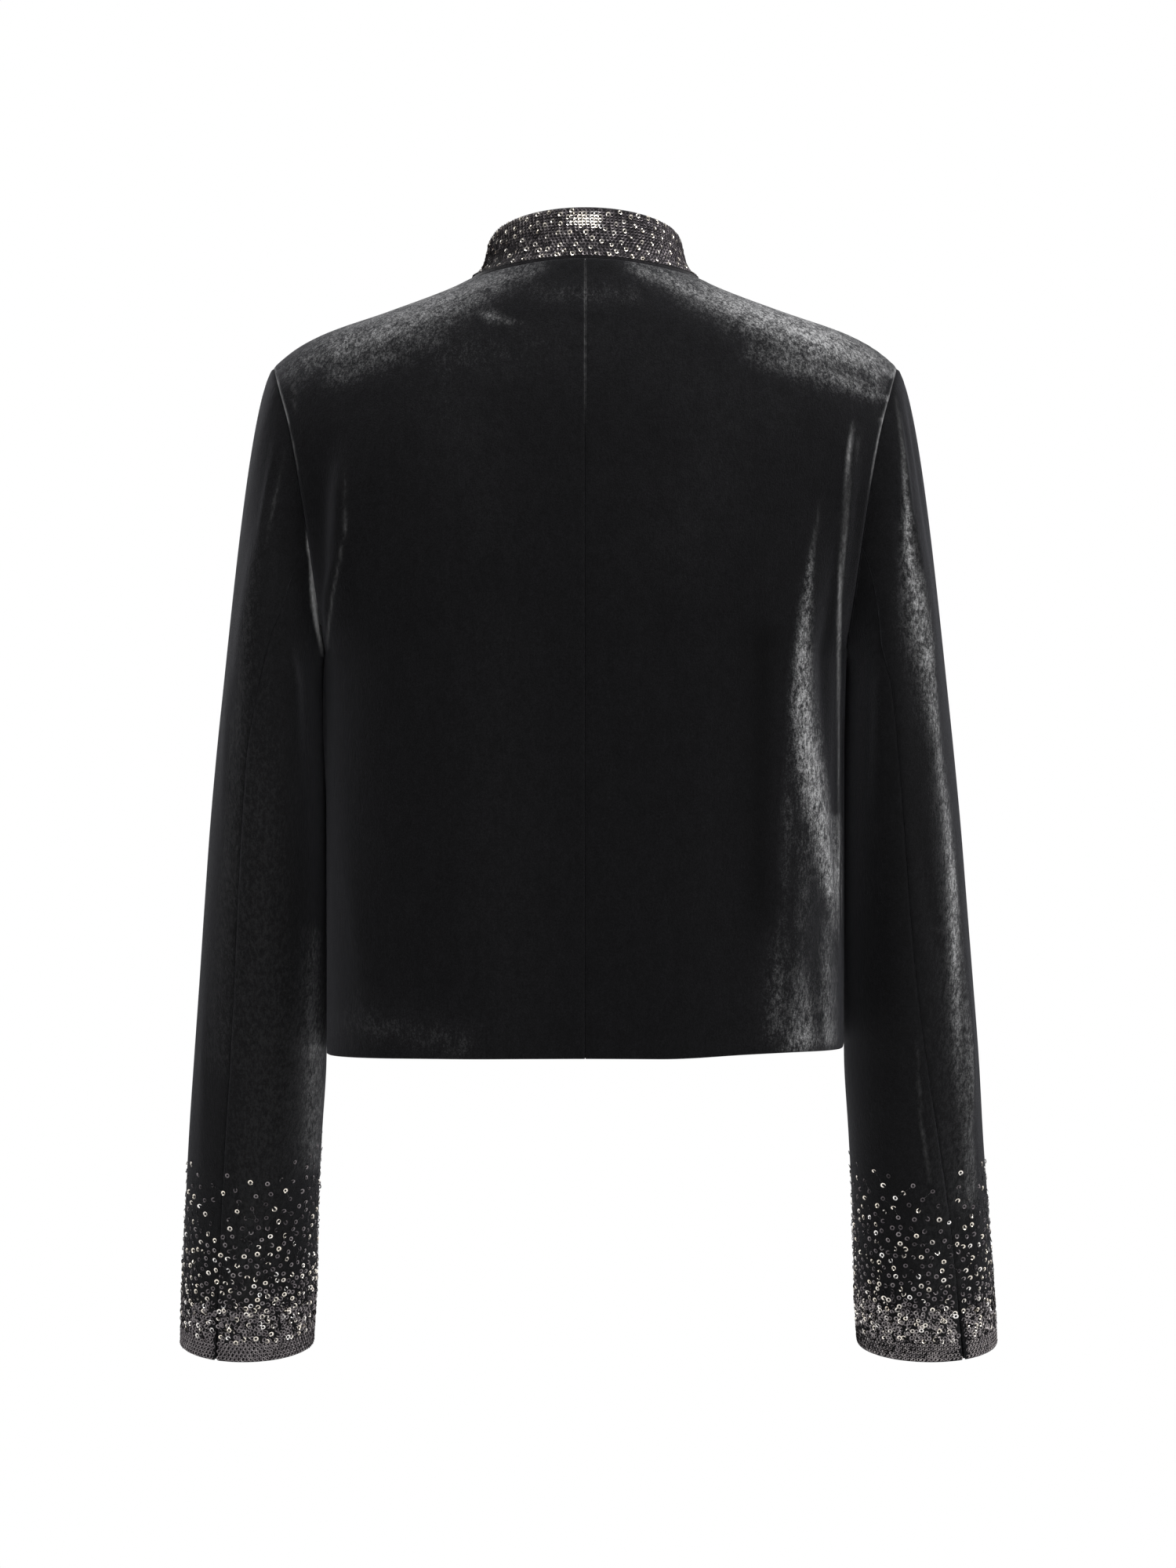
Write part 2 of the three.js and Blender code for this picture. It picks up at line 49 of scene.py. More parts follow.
# Driving sizes, in millimetres
CLOTH = 1.3  # velvet with its pile
TURNING = 0.7  # what a seam turning or a hem adds inside
TURNING_WIDTH = 12
HEM_WIDTH = 32
SEAM_GAP = 0.3
FRONT_GAP = 2.0
SHOULDER_TIP = -59.0
UNDERARM = -245.0
ARMHOLE_MIDDLE = (SHOULDER_TIP + UNDERARM) / 2
ARMHOLE_HALF = (SHOULDER_TIP - UNDERARM) / 2
HEM = -495.0
NECK = -3.0
CUFF_RING = -262.0
CUFF_END = -686.5
CAP_SHARE = 9 / 26  # share of the sleeve's rows that lie above the armpit ring
VENT = {"share": 0.08, "width": 2.2, "columns": 8, "underlap": 9, "overrun": 1.1}
BARE_VENT = {1: {"height": 16, "half_width": 1.7}, -1: {"height": 58, "half_width": 2.0}}
BARE_SEAM = 0.9  # half the bare strip along the rest of a sleeve's back seam
SEQUIN = {"outer": 1.55, "hole": 0.8, "sides": 9, "cup": (0.05, 0.13, 0.34)}

# The cloth's points: their spacing from row to row and along a row, and the lengths that they cover
STEP = 3.2
STEP_ACROSS = 2.2
CLOSE_STEPS = np.array([0, 0.5, 1.1, 2.0])  # beside a seam or a free edge
CLOSE_REACH = 3.4
ARMHOLE_ROWS = 74
SHOULDER_LENGTH = 140
BODY_WIDTH = 185
CAP_LENGTH = 210
ARM_LENGTH = 430
SLEEVE_WIDTH = {"upper": 205, "under": 125}
HALF_COLLAR = 200


class Table:
    """Rows with named columns, read along smooth curves that never overshoot the rows."""

    def __init__(self, columns, rows):
        self.key = columns[0]
        self.columns = {name: np.array(values, float) for name, values in zip(columns, zip(*rows))}

    def at(self, where, column):
        x, y = self.columns[self.key], self.columns[column]
        if x[0] > x[-1]:
            x, y = x[::-1], y[::-1]
        slope = np.diff(y) / np.diff(x)
        before, after = slope[:-1], slope[1:]
        same_way = before * after > 0
        total = np.where(same_way, before + after, 1)
        middle = np.where(same_way, 2 * before * after / total, 0)
        tangent = np.concatenate([slope[:1], middle, slope[-1:]])
        where = np.clip(where, x[0], x[-1])
        i = np.clip(np.searchsorted(x, where, side="right") - 1, 0, len(x) - 2)
        span = x[i + 1] - x[i]
        t = (where - x[i]) / span
        smooth = t * t * (3 - 2 * t)
        bend = t * (1 - t) * ((1 - t) * tangent[i] - t * tangent[i + 1]) * span
        return y[i] + (y[i + 1] - y[i]) * smooth + bend

    def rows(self):
        names = list(self.columns)
        for values in zip(*self.columns.values()):
            yield dict(zip(names, values))


RING_COLUMNS = ["side", "back", "front", "half_width", "depth_back", "depth_front"]
BODY_RINGS = Table([*RING_COLUMNS, "round_back", "round_front"], [
    [-495, -493.5, -497, 164.5, 100, 108, 2.5, 2.4],
    [-430, -430, -431, 164.6, 103, 113, 2.5, 2.4],
    [-340, -340, -341, 164.8, 106, 121, 2.55, 2.4],
    [-245, -244, -247, 165, 108, 126, 2.65, 2.4],
    [-225, -224, -228, 171.5, 108, 125, 2.6, 2.35],
    [-200, -199, -204, 182, 107.5, 123, 2.5, 2.25],
    [-154, -152, -161, 200, 105, 117, 2.25, 2.1],
    [-130, -128, -140, 208, 102, 113, 2.2, 2.05],
    [-100, -98, -114, 214, 97.5, 107, 2.1, 2],
    [-77, -75, -98, 211, 92.5, 102, 2.05, 2],
    [-59, -56, -86, 198.5, 88, 98, 2, 2],
    [-49, -45, -79, 187, 85, 95, 2, 2],
    [-39, -35, -73, 169.5, 81.5, 92, 2, 2],
    [-24, -18.5, -64, 127, 75, 87, 2, 2],
    [-9, -2, -54, 86.5, 67, 81, 2, 2],
    [-3, 5.4, -50, 74, 62, 78, 2, 2],
])
COLLAR_RINGS = Table(["rise", *RING_COLUMNS, "slope"], [
    [0, -3, 5.4, -50, 74, 62, 78, 0],
    [0.2, 1.5, 12, -44, 66.5, 58.5, 72, 0.35],
    [0.5, 7.5, 21.5, -34, 63.5, 55.5, 67, 0.75],
    [1, 18, 37.5, -17, 61, 52, 62, 1],
])
ARMHOLE_EDGES = Table(["level", "back", "front"], [
    [-59, 198.5, 198.5], [-77, 193, 190.5], [-100, 186.5, 181.5], [-130, 180.5, 174.5],
    [-160, 175.5, 171.5], [-200, 170, 169], [-225, 166.6, 166.5], [-238, 165.2, 165.2],
    [-245, 165, 165],
])
SLEEVE_RINGS = Table(["height", "inner", "outer_left", "outer_right", "centre_y", "half_depth", "pitch"], [
    [-262, 165.9, 230.5, 230.5, -2, 68, 0],
    [-300, 165.5, 234.6, 234.6, -3, 66, 1.5],
    [-350, 165.4, 239.4, 239.6, -6, 62, 3],
    [-400, 165.4, 243.4, 244, -11, 57, 5],
    [-450, 165.5, 247.3, 248.5, -18, 52, 7],
    [-500, 166.4, 251.5, 253, -27, 48, 9],
    [-550, 169.8, 255.6, 256.5, -37, 44.5, 11],
    [-600, 172.8, 258.8, 260.8, -47, 41.5, 12.5],
    [-650, 174.6, 261.6, 265, -57, 38.5, 14],
    [-686.5, 177, 263, 267.5, -64, 36.5, 15],
])
SEAM_COLUMNS = ["down", "back", "front"]
SLEEVE_SEAMS = {
    1: Table(SEAM_COLUMNS, [
        [0, 105, 240], [0.18, 100, 240], [0.34, 79, 238], [0.42, 69, 236], [1, 65, 232],
    ]),
    -1: Table(SEAM_COLUMNS, [
        [0, 105, 240], [0.24, 112, 240], [0.38, 99, 239], [0.62, 87, 237], [0.85, 68, 234], [1, 61, 232],
    ]),
}

# The solids' largest folds, each table then with the finer creases that only the cloth here has
FOLD_COLUMNS = ["side", "top", "top_angle", "bottom", "bottom_angle", "width", "rise"]
BODY_FOLDS = Table(FOLD_COLUMNS, [
    [1, -85, 58, -262, 74, 13, 5], [1, -95, 67, -236, 72, 9, -4.5], [-1, -75, 66, -300, 82, 10, 4.5],
    [-1, -90, 71, -215, 69, 7, -3], [-1, -150, 58, -560, 62, 20, 4.5],
    [-1, -190, 45, -600, 47, 20, -3.5], [1, -300, 48, -640, 52, 24, -2.5],
    [1, -140, 128, -560, 136, 22, 3.5], [-1, -160, 130, -560, 133, 24, 3.5],
    # finer creases
    [1, -96, 63.5, -205, 64, 3.2, 1.8], [1, -172, 62.5, -252, 78, 3, 1.8],
    [1, -118, 67.5, -222, 69, 4, -1.6], [1, -64, 76.6, -106, 73, 1.8, -1.4],
    [1, -330, 70, -520, 60, 9, 1.2], [1, -60, 34, -150, 40, 12, 0.9], [1, -380, 20, -540, 26, 14, -0.8],
    [1, -150, 146, -330, 140, 8, 1.2], [1, -210, 112, -330, 120, 6, -1.3],
    [1, -222, 84, -335, 85, 5, 2.2], [-1, -84, 68.6, -232, 67.6, 3, 2.2],
    [-1, -94, 71, -222, 70.6, 3.2, -2.2], [-1, -212, 73, -470, 77.6, 3, 1.5],
    [-1, -232, 80, -480, 81, 3.6, -1.6], [-1, -92, 71.5, -130, 70, 1.8, 1.2],
    [-1, -150, 60.5, -330, 60, 6, 2.2], [-1, -160, 65.5, -330, 67, 5, -2],
    [-1, -286, 60, -430, 75, 6, 2.2], [-1, -230, 54, -400, 57, 8, -1.2],
    [-1, -380, 60, -492, 55, 7, 1.6], [-1, -400, 67, -494, 62, 5, -1.4],
    [-1, -424, 72, -494, 70, 5, 1.3], [-1, -64, 28, -150, 36, 12, 0.8],
    [-1, -170, 20, -330, 26, 16, -0.8], [-1, -190, 122, -330, 114, 6, -1.3],
    [-1, -260, 142, -420, 150, 9, 1.1],
])
SLEEVE_FOLDS = Table(FOLD_COLUMNS, [
    [-1, 0.03, 62, 0.42, 40, 12, 3.5], [-1, 0.1, 82, 0.5, 74, 14, -3],
    [-1, 0.45, 36, 0.97, 42, 13, 3], [1, 0.08, 70, 0.4, 48, 12, 3],
    [1, 0.16, 96, 0.5, 84, 13, -3], [1, 0.5, 120, 0.92, 112, 15, 3],
    [1, 0.4, 300, 0.62, 250, 14, -3], [-1, 0.4, 300, 0.62, 250, 14, -3],
    # finer creases
    [1, 0.02, 52, 0.22, 66, 4, 1.5], [1, 0.04, 84, 0.26, 92, 4, -1.6],
    [1, 0.01, 65, 0.24, 70, 2.5, 1], [1, 0.22, 110, 0.44, 128, 6, 1.6],
    [1, 0.3, 30, 0.52, 52, 8, 1], [1, 0.5, 96, 0.66, 70, 6, -1.3], [1, 0.6, 30, 0.84, 44, 8, 1.1],
    [1, 0.56, 150, 0.72, 128, 6, 1.1], [1, 0.46, 318, 0.56, 268, 6, -2],
    [1, 0.52, 316, 0.63, 270, 5, 1.5], [1, 0.08, 300, 0.3, 280, 7, 1.4],
    [-1, 0.012, 36, 0.17, 61, 3.2, 1.9], [-1, 0.13, 58, 0.3, 58, 4, 1.6],
    [-1, 0.03, 20, 0.24, 36, 5, -1.6], [-1, 0.05, 66, 0.3, 84, 4.5, -1.4],
    [-1, 0.2, 58, 0.46, 50, 7, 1.4], [-1, 0.28, 112, 0.5, 122, 7, 1.2],
    [-1, 0.42, 86, 0.66, 60, 7, -1.2], [-1, 0.62, 24, 0.86, 58, 6, 1.5],
    [-1, 0.7, 84, 0.92, 74, 6, 1.2], [-1, 0.47, 320, 0.57, 264, 6, -2],
    [-1, 0.53, 312, 0.64, 268, 5, 1.6], [-1, 0.06, 296, 0.28, 284, 7, 1.3],
])

BODY_MM_PER_DEGREE = 2.1
SLEEVE_MM_PER_DEGREE = 0.88
FOLD_TAPER = 1.5  # how sharply a fold's ends die out
# Degrees over which folds die out at a seam, and the share of a sleeve's rows at its head
CLEAR = {"armhole": 7, "centre": 8, "side": 5, "sleeve_head": 0.06}
# How the sleeve's head leaves the armhole: an even part, and parts that follow the cosine of the turn
# and of twice the turn.
HEAD_HANDLE = {"outward": [10.4, 5.4, -3.4], "backward": 6, "upward": [-14.2, -6.5, 7.7]}
ARM_REACH = 0.4

# Painted sheen: strokes of painted highlight in the velvet's colour, mottled like crushed pile, and with a
# strength below 0 painted shade. Rows of one path are joined. x and z are as seen from behind, from VIEW
# away. The front has the same paths.
VIEW = {"away": 3200, "x": -1.75, "z": -324}
SHEEN_COLUMNS = ["path", "x", "z", "width", "strength"]
BODY_SHEEN = Table(SHEEN_COLUMNS, [
    # painted highlight on the ridge beside the wearer's right side seam
    [1, -150, -140, 1, 0.2], [1, -143, -190, 3.5, 0.65], [1, -139, -235, 7, 0.92],
    [1, -138, -270, 10, 1.08], [1, -143, -310, 12, 1.08], [1, -151, -350, 11, 1.12],
    [1, -157, -385, 9, 1.12], [1, -160, -425, 5, 0.3],
    [2, -131, -280, 6, 0.35], [2, -127, -350, 11, 0.42], [2, -124, -420, 12, 0.27],
    [2, -122, -480, 12, 0.42],
    [3, -140, -360, 10, 0.4], [3, -138, -430, 12, 0.25], [3, -138, -487, 16, 0.72],
    [4, -154, -414, 8, 0.45], [4, -156, -487, 7, 0.7],
    [5, -152, -170, 4, -0.3], [5, -155, -250, 5, -0.6], [5, -160, -340, 4, -0.5],
    [6, -114, -230, 14, -0.7], [6, -112, -400, 12, -0.6],
    # painted highlights and shade along the drape and the seam beside the wearer's right armhole
    [7, -170, -92, 1.4, 0.3], [7, -168.7, -108, 1.6, 0.9], [7, -167.7, -130, 1.6, 1],
    [7, -165.7, -155, 1.5, 1.05], [7, -162.2, -206, 1.5, 1.05], [7, -161.7, -246, 1.5, 1],
    [7, -162.3, -320, 1.5, 0.8], [7, -163, -400, 1.4, 0.5], [7, -163, -450, 1.4, 0.03],
    [8, -174.8, -96, 2, 0.25], [8, -173.4, -108, 2, 0.4], [8, -173.2, -119, 2, 0.2],
    [9, -196, -64, 5, 0.9], [9, -192, -78, 4, 0.8], [9, -189, -92, 2.5, 0.65],
    [10, -186, -62, 5, 0.7], [10, -184, -80, 4, 0.35],
    [26, -195.5, -67, 2.2, -1.3], [26, -194, -74, 2.2, -1.3],
    [27, -191.5, -82, 2.2, -1.3], [27, -190.5, -87, 2.2, -1.3],
    [11, -175, -140, 4, -0.5], [11, -172, -220, 5, -0.6],
    # painted highlights on the shoulders
    [12, -30, 6, 7, 0.5], [12, -62, -4, 12, 0.72], [12, -97, -18, 15, 0.95], [12, -147, -37, 21, 1.08],
    [12, -190, -58, 15, 0.72],
    [13, -110, -48, 14, 0.4], [13, -150, -60, 12, 0.55], [13, -184, -74, 8, 0.6],
    [14, 30, 6, 8, 0.45], [14, 62, -4, 13, 0.66], [14, 93, -16, 19, 0.82], [14, 148, -38, 21, 0.76],
    [14, 188, -58, 16, 0.42],
    [15, 96, -38, 14, 0.35], [15, 160, -62, 14, 0.4],
    [16, 74, -20, 4, 0.2], [16, 60, -26, 6, 0.55], [16, 40, -31, 4, 0.2],
    [17, 30, -10, 12, 0.22], [17, -30, -12, 12, 0.22],
    [18, 90, -50, 26, 0.2], [18, -20, -42, 26, 0.1], [18, -120, -84, 24, 0.1],
    [19, -100, -70, 30, 0.1], [19, -60, -170, 30, 0.08],
    [20, 90, -75, 30, 0.14], [20, 60, -160, 30, 0.05],
    # painted highlights and shade on the wearer's left side
    [21, 185.9, -68, 1.2, 0.2], [21, 185.4, -78, 1.2, 0.4], [21, 185.2, -92, 1.2, 0.15],
    [22, 154.3, -118, 1.5, 0.15], [22, 152.3, -144, 1.5, 0.4], [22, 153.3, -162, 1.5, 0.46],
    [22, 156.3, -179, 1.5, 0.46], [22, 161.3, -204, 1.5, 0.48], [22, 164.3, -229, 1.5, 0.55],
    [22, 165.3, -246, 1.5, 0.4],
    [23, 160, -140, 5, -0.5], [23, 168, -222, 5, -0.7],
    [24, 150, -475, 18, 0.2], [24, 80, -490, 18, 0.2],
    [25, 60, -240, 34, 0.08], [25, 50, -480, 34, 0.1],
])
SLEEVE_SHEEN = Table(SHEEN_COLUMNS, [
    # the wearer's right sleeve
    [1, -197.8, -76, 1.4, 0.3], [1, -200.5, -95, 1.8, 0.48], [1, -202.8, -112, 2.2, 0.54],
    [1, -204.8, -143, 3, 0.7], [1, -207, -180, 5, 0.8], [1, -211, -204, 8, 0.76],
    [1, -216, -232, 10, 0.7], [1, -222, -268, 8, 0.62], [1, -227, -304, 5, 0.7],
    [1, -232, -346, 5, 0.95], [1, -235, -384, 5, 1], [1, -236, -440, 4.5, 0.8],
    [1, -238, -490, 6, 0.4], [1, -240, -530, 6, 0.2],
    [2, -222, -200, 5, 0.4], [2, -226, -246, 4, 0.1],
    [3, -241, -400, 6, 0.35], [3, -246, -480, 9, 0.42], [3, -248, -590, 9, 0.3],
    [4, -211, -470, 1.5, 0.2], [4, -213, -524, 1.5, 0.4], [4, -219, -578, 1.5, 0.4],
    [4, -222, -606, 1.5, 0.1],
    [5, -204, -66, 1.4, 0.4], [5, -208, -86, 2, 0.4], [5, -212, -110, 3, 0.35],
    [5, -217, -150, 4, 0.05],
    [6, -212, -180, 40, 0.12], [6, -226, -560, 40, 0.2], [6, -228, -680, 40, 0.26],
    # the wearer's left sleeve
    [7, 177.6, -160, 1.2, 0.4], [7, 175.8, -174, 1.8, 1.6], [7, 175.2, -182, 1.3, 1.1],
    [7, 174.4, -187, 1.7, 1.5], [7, 173.4, -198, 2.2, 1.9], [7, 172.4, -212, 2.2, 1.9],
    [7, 170.8, -224, 1.8, 1.7], [7, 167.6, -242, 1.4, 0.9],
    [8, 191.3, -112, 1.5, 0.15], [8, 198.3, -144, 1.8, 0.36], [8, 204.3, -176, 1.8, 0.15],
    [9, 206, -74, 7, 0.16], [9, 216, -170, 9, 0.16], [9, 228, -320, 12, 0.1], [9, 238, -500, 14, 0.08],
    [10, 205, -180, 40, 0.14], [10, 205, -340, 40, 0.22], [10, 206, -520, 40, 0.24],
    [10, 222, -680, 40, 0.26],
    [11, 172, -420, 7, 0.36], [11, 172, -480, 9, 0.58], [11, 175, -570, 8, 0.4],
])
# A painted highlight: how pale the cloth is painted beside the armhole seam, on the wearer's left and right
SEAM_SHEEN = Table(["height", "left", "right"], [
    [-245, 0.05, 0.05], [-160, 0.06, 0.1], [-136, 0.15, 0.6], [-124, 0.6, 1], [-112, 0.8, 1.2],
    [-103, 0.5, 1.2], [-95, 1.2, 1.2], [-77, 1.3, 1], [-59, 0.3, 0.6],
])


def cos(angle):
    return np.cos(np.radians(angle))


def sin(angle):
    return np.sin(np.radians(angle))


def smoothstep(value, low, high):
    t = np.clip((value - low) / (high - low), 0, 1)
    return t * t * (3 - 2 * t)


def stack(x, y, z):
    return np.stack(np.broadcast_arrays(x, y, z), axis=-1)


def unit(vectors):
    return vectors / np.maximum(np.linalg.norm(vectors, axis=-1, keepdims=True), 1e-12)


def ring_point(table, where, angle, side):
    """A point of a ring round the neck or body. angle is 0 at centre back and 180 at centre front."""
    across, behind = sin(angle), cos(angle)
    at_back = behind > 0
    depth = np.where(at_back, table.at(where, "depth_back"), table.at(where, "depth_front"))
    power = 2.0
    if "round_back" in table.columns:
        power = np.where(at_back, table.at(where, "round_back"), table.at(where, "round_front"))
    half_width = table.at(where, "half_width")
    reach = ((np.abs(across) / half_width) ** power + (np.abs(behind) / depth) ** power) ** (-1 / power)
    at_side, at_front = table.at(where, "side"), table.at(where, "front")
    end = np.where(at_back, table.at(where, "back"), at_front)
    height = at_side + (end - at_side) * behind**2
    if "slope" in table.columns:
        tilt = (table.at(where, "back") - at_front) / 2
        bow = table.at(where, "back") - tilt - at_side
        sloping = at_side + tilt * behind + bow * behind**2
        height = height + (sloping - height) * table.at(where, "slope")
    return stack(side * reach * across, reach * behind, height)


def smooth_body(level, angle, side):
    return ring_point(BODY_RINGS, level, angle, side)


def collar_point(rise, angle, side):
    return ring_point(COLLAR_RINGS, rise, angle, side)


# How far to either side a surface is read for its normal, along its two directions
NUDGE = {
    "smooth_body": (0.5, 0.5),
    "body": (0.4, 0.4),
    "smooth_sleeve": (0.002, 1),
    "sleeve": (0.002, 0.8),
    "collar": (0.01, 0.5),
}
# Places just off a seam or edge: as shares of the sleeve, in millimetres, and as a share of the collar
NEAR = {"armhole": 0.003, "cuff": 0.997, "below_neck": 0.5, "above_neck": 0.012}


def normal_of(surface, a, b, kind, flip):
    step_a, step_b = NUDGE[kind]
    along_a = surface(a + step_a, b) - surface(a - step_a, b)
    along_b = surface(a, b + step_b) - surface(a, b - step_b)
    return unit(np.cross(along_a, along_b) * flip)


def fold_field(folds, where, angle, side, mm_per_degree, turns=False):
    """The sum of a table's folds at places given by their height or share and their angle."""
    total = np.zeros(np.broadcast(where, angle).shape)
    for fold in folds.rows():
        if fold["side"] != side:
            continue
        share = (where - fold["top"]) / (fold["bottom"] - fold["top"])
        centre = fold["top_angle"] + (fold["bottom_angle"] - fold["top_angle"]) * share
        apart = angle - centre
        if turns:
            apart = (apart + 540) % 360 - 180
        taper = np.where((share > 0) & (share < 1), np.abs(np.sin(np.pi * share)) ** FOLD_TAPER, 0)
        total = total + fold["rise"] * taper * np.exp(-((apart * mm_per_degree / fold["width"]) ** 2))
    return total


def armhole_angle(level, at_back):
    name = "back" if at_back else "front"
    edge = ARMHOLE_EDGES.at(level, name)
    power = BODY_RINGS.at(level, "round_" + name)
    depth = BODY_RINGS.at(level, "depth_" + name) * (1 if at_back else -1)
    share = np.minimum(1, edge / BODY_RINGS.at(level, "half_width"))
    return np.degrees(np.arctan2(edge, depth * (1 - share**power) ** (1 / power)))


def armhole_level(turn):
    return ARMHOLE_MIDDLE + ARMHOLE_HALF * cos(turn)


def armhole_turn(level):
    return np.degrees(np.arccos(np.clip((level - ARMHOLE_MIDDLE) / ARMHOLE_HALF, -1, 1)))


def body_rise(level, angle, side):
    """How far folds and creases lift the body's cloth, dying out at its seams as on the solids."""
    back, front = armhole_angle(level, True), armhole_angle(level, False)
    away = np.where(angle <= 90, back - angle, angle - front)
    beside_armhole = (level > UNDERARM) & (level < SHOULDER_TIP)
    clear = np.where(beside_armhole, smoothstep(away, 0, CLEAR["armhole"]), 1)
    from_centre = np.minimum(angle, 180 - angle) / CLEAR["centre"]
    seams = np.minimum(1, np.minimum(from_centre, np.abs(angle - 90) / CLEAR["side"]))
    return fold_field(BODY_FOLDS, level, angle, side, BODY_MM_PER_DEGREE) * seams * clear


def body_point(level, angle, side):
    normal = normal_of(lambda l, a: smooth_body(l, a, side), level, angle, "smooth_body", side)
    return smooth_body(level, angle, side) + normal * body_rise(level, angle, side)[..., None]


def armhole_point(turn, side):
    level = armhole_level(turn)
    at_back = sin(turn) >= 0
    angle = np.where(at_back, armhole_angle(level, True), armhole_angle(level, False))
    return smooth_body(level, angle, side)


def sleeve_ring_point(height, turn, side):
    outer = SLEEVE_RINGS.at(height, "outer_left" if side > 0 else "outer_right")
    inner = SLEEVE_RINGS.at(height, "inner")
    back = sin(turn) * SLEEVE_RINGS.at(height, "half_depth")
    pitch = SLEEVE_RINGS.at(height, "pitch")
    return stack(
        side * ((outer + inner) / 2 + cos(turn) * (outer - inner) / 2),
        SLEEVE_RINGS.at(height, "centre_y") + back * cos(pitch),
        height - back * sin(pitch),
    )


def head_handle(turn, side):
    waves = np.stack([np.ones(np.shape(turn)), cos(turn), cos(2 * turn)], axis=-1)
    out, up = waves @ HEAD_HANDLE["outward"], waves @ HEAD_HANDLE["upward"]
    return stack(side * out, HEAD_HANDLE["backward"] * sin(turn), up)


def smooth_sleeve(down, turn, side):
    """A point of the sleeve without its folds. down is 0 at the armhole and 1 at the cuff."""
    down, turn = np.broadcast_arrays(down, turn)
    share = np.clip((down - CAP_SHARE) / (1 - CAP_SHARE), 0, 1)
    arm = sleeve_ring_point(CUFF_RING + (CUFF_END - CUFF_RING) * share, turn, side)
    start = armhole_point(turn, side)
    end = sleeve_ring_point(np.full(turn.shape, CUFF_RING), turn, side)
    below = sleeve_ring_point(np.full(turn.shape, CUFF_RING - 1), turn, side)
    reach = ARM_REACH * np.linalg.norm(end - start, axis=-1, keepdims=True)
    leave = start + head_handle(turn, side)
    arrive = end - unit(below - end) * reach
    t = np.clip(down / CAP_SHARE, 0, 1)[..., None]
    cap = start * (1 - t) ** 3 + 3 * leave * t * (1 - t) ** 2 + 3 * arrive * t * t * (1 - t) + end * t**3
    return np.where((down >= CAP_SHARE)[..., None], arm, cap)


def sleeve_rise(down, turn, side):
    around = turn % 360
    folds = fold_field(SLEEVE_FOLDS, down, around, side, SLEEVE_MM_PER_DEGREE, turns=True)
    return folds * smoothstep(down, 0, CLEAR["sleeve_head"])


def sleeve_point(down, turn, side):
    normal = normal_of(lambda d, t: smooth_sleeve(d, t, side), down, turn, "smooth_sleeve", side)
    return smooth_sleeve(down, turn, side) + normal * sleeve_rise(down, turn, side)[..., None]


def sleeve_normal(down, turn, side):
    return normal_of(lambda d, t: sleeve_point(d, t, side), down, turn, "sleeve", side)


def body_normal(level, angle, side):
    return normal_of(lambda l, a: body_point(l, a, side), level, angle, "body", side)


def collar_normal(rise, angle, side):
    return normal_of(lambda r, a: collar_point(r, a, side), rise, angle, "collar", side)


def armhole_mitre(turn, side):
    """The direction that halves the angle between body and sleeve along the armhole seam."""
    level = armhole_level(turn)
    angle = np.where(sin(turn) >= 0, armhole_angle(level, True), armhole_angle(level, False))
    inside = np.full(np.shape(turn), NEAR["armhole"])
    return unit(body_normal(level, angle, side) + sleeve_normal(inside, turn, side))


def neck_mitre(angle, side):
    below = np.full(np.shape(angle), NECK - NEAR["below_neck"])
    above = np.full(np.shape(angle), NEAR["above_neck"])
    return unit(body_normal(below, angle, side) + collar_normal(above, angle, side))


# Meshes

MATERIALS = {}


def fine_steps(length, step, start=True, end=True):
    """Places from 0 to 1 about step apart along a length, with closer ones beside its ends."""
    middle_from = CLOSE_REACH if start else 0
    middle_to = length - (CLOSE_REACH if end else 0)
    count = max(2, round((middle_to - middle_from) / step))
    middle = np.linspace(middle_from, middle_to, count + 1)
    places = [CLOSE_STEPS if start else [], middle, length - CLOSE_STEPS[::-1] if end else []]
    return np.concatenate(places) / length


def grid_normals(points, flip):
    """Normals of a grid from its own points."""
    along_rows = np.gradient(points, axis=0)
    along_columns = np.gradient(points, axis=1)
    return unit(np.cross(along_rows, along_columns) * flip)


def distance_to(points, line):
    """How far each point lies from the nearest point of a line."""
    flat = points.reshape(-1, 3)
    nearest = np.full(len(flat), np.inf)
    for part in np.array_split(line, max(1, len(line) // 40)):
        gaps = np.linalg.norm(flat[:, None] - part[None], axis=2).min(axis=1)
        nearest = np.minimum(nearest, gaps)
    return nearest.reshape(points.shape[:2])


def add_mesh(name, vertices, faces, materials, face_material=None, attributes=None):
    """A mesh piece in metres from points in millimetres, riding on the jacket's one body."""
    mesh = bpy.data.meshes.new(name)
    vertices = np.asarray(vertices, float) * MM
    faces = np.asarray(faces, int)
    mesh.vertices.add(len(vertices))
    mesh.vertices.foreach_set("co", vertices.ravel())
    mesh.loops.add(faces.size)
    mesh.loops.foreach_set("vertex_index", faces.ravel())
    mesh.polygons.add(len(faces))
    mesh.polygons.foreach_set("loop_start", np.arange(len(faces)) * faces.shape[1])
    if face_material is not None:
        mesh.polygons.foreach_set("material_index", np.asarray(face_material, int))
    mesh.update(calc_edges=True)
    mesh.validate()
    for key, values in (attributes or {}).items():
        layer = mesh.attributes.new(key, "FLOAT", "POINT")
        layer.data.foreach_set("value", np.asarray(values, float))
    mesh.shade_smooth()
    for material in materials:
        mesh.materials.append(MATERIALS[material])
    piece = bpy.data.objects.new(name, mesh)
    bpy.context.scene.collection.objects.link(piece)
    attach(piece, "root")
    return piece


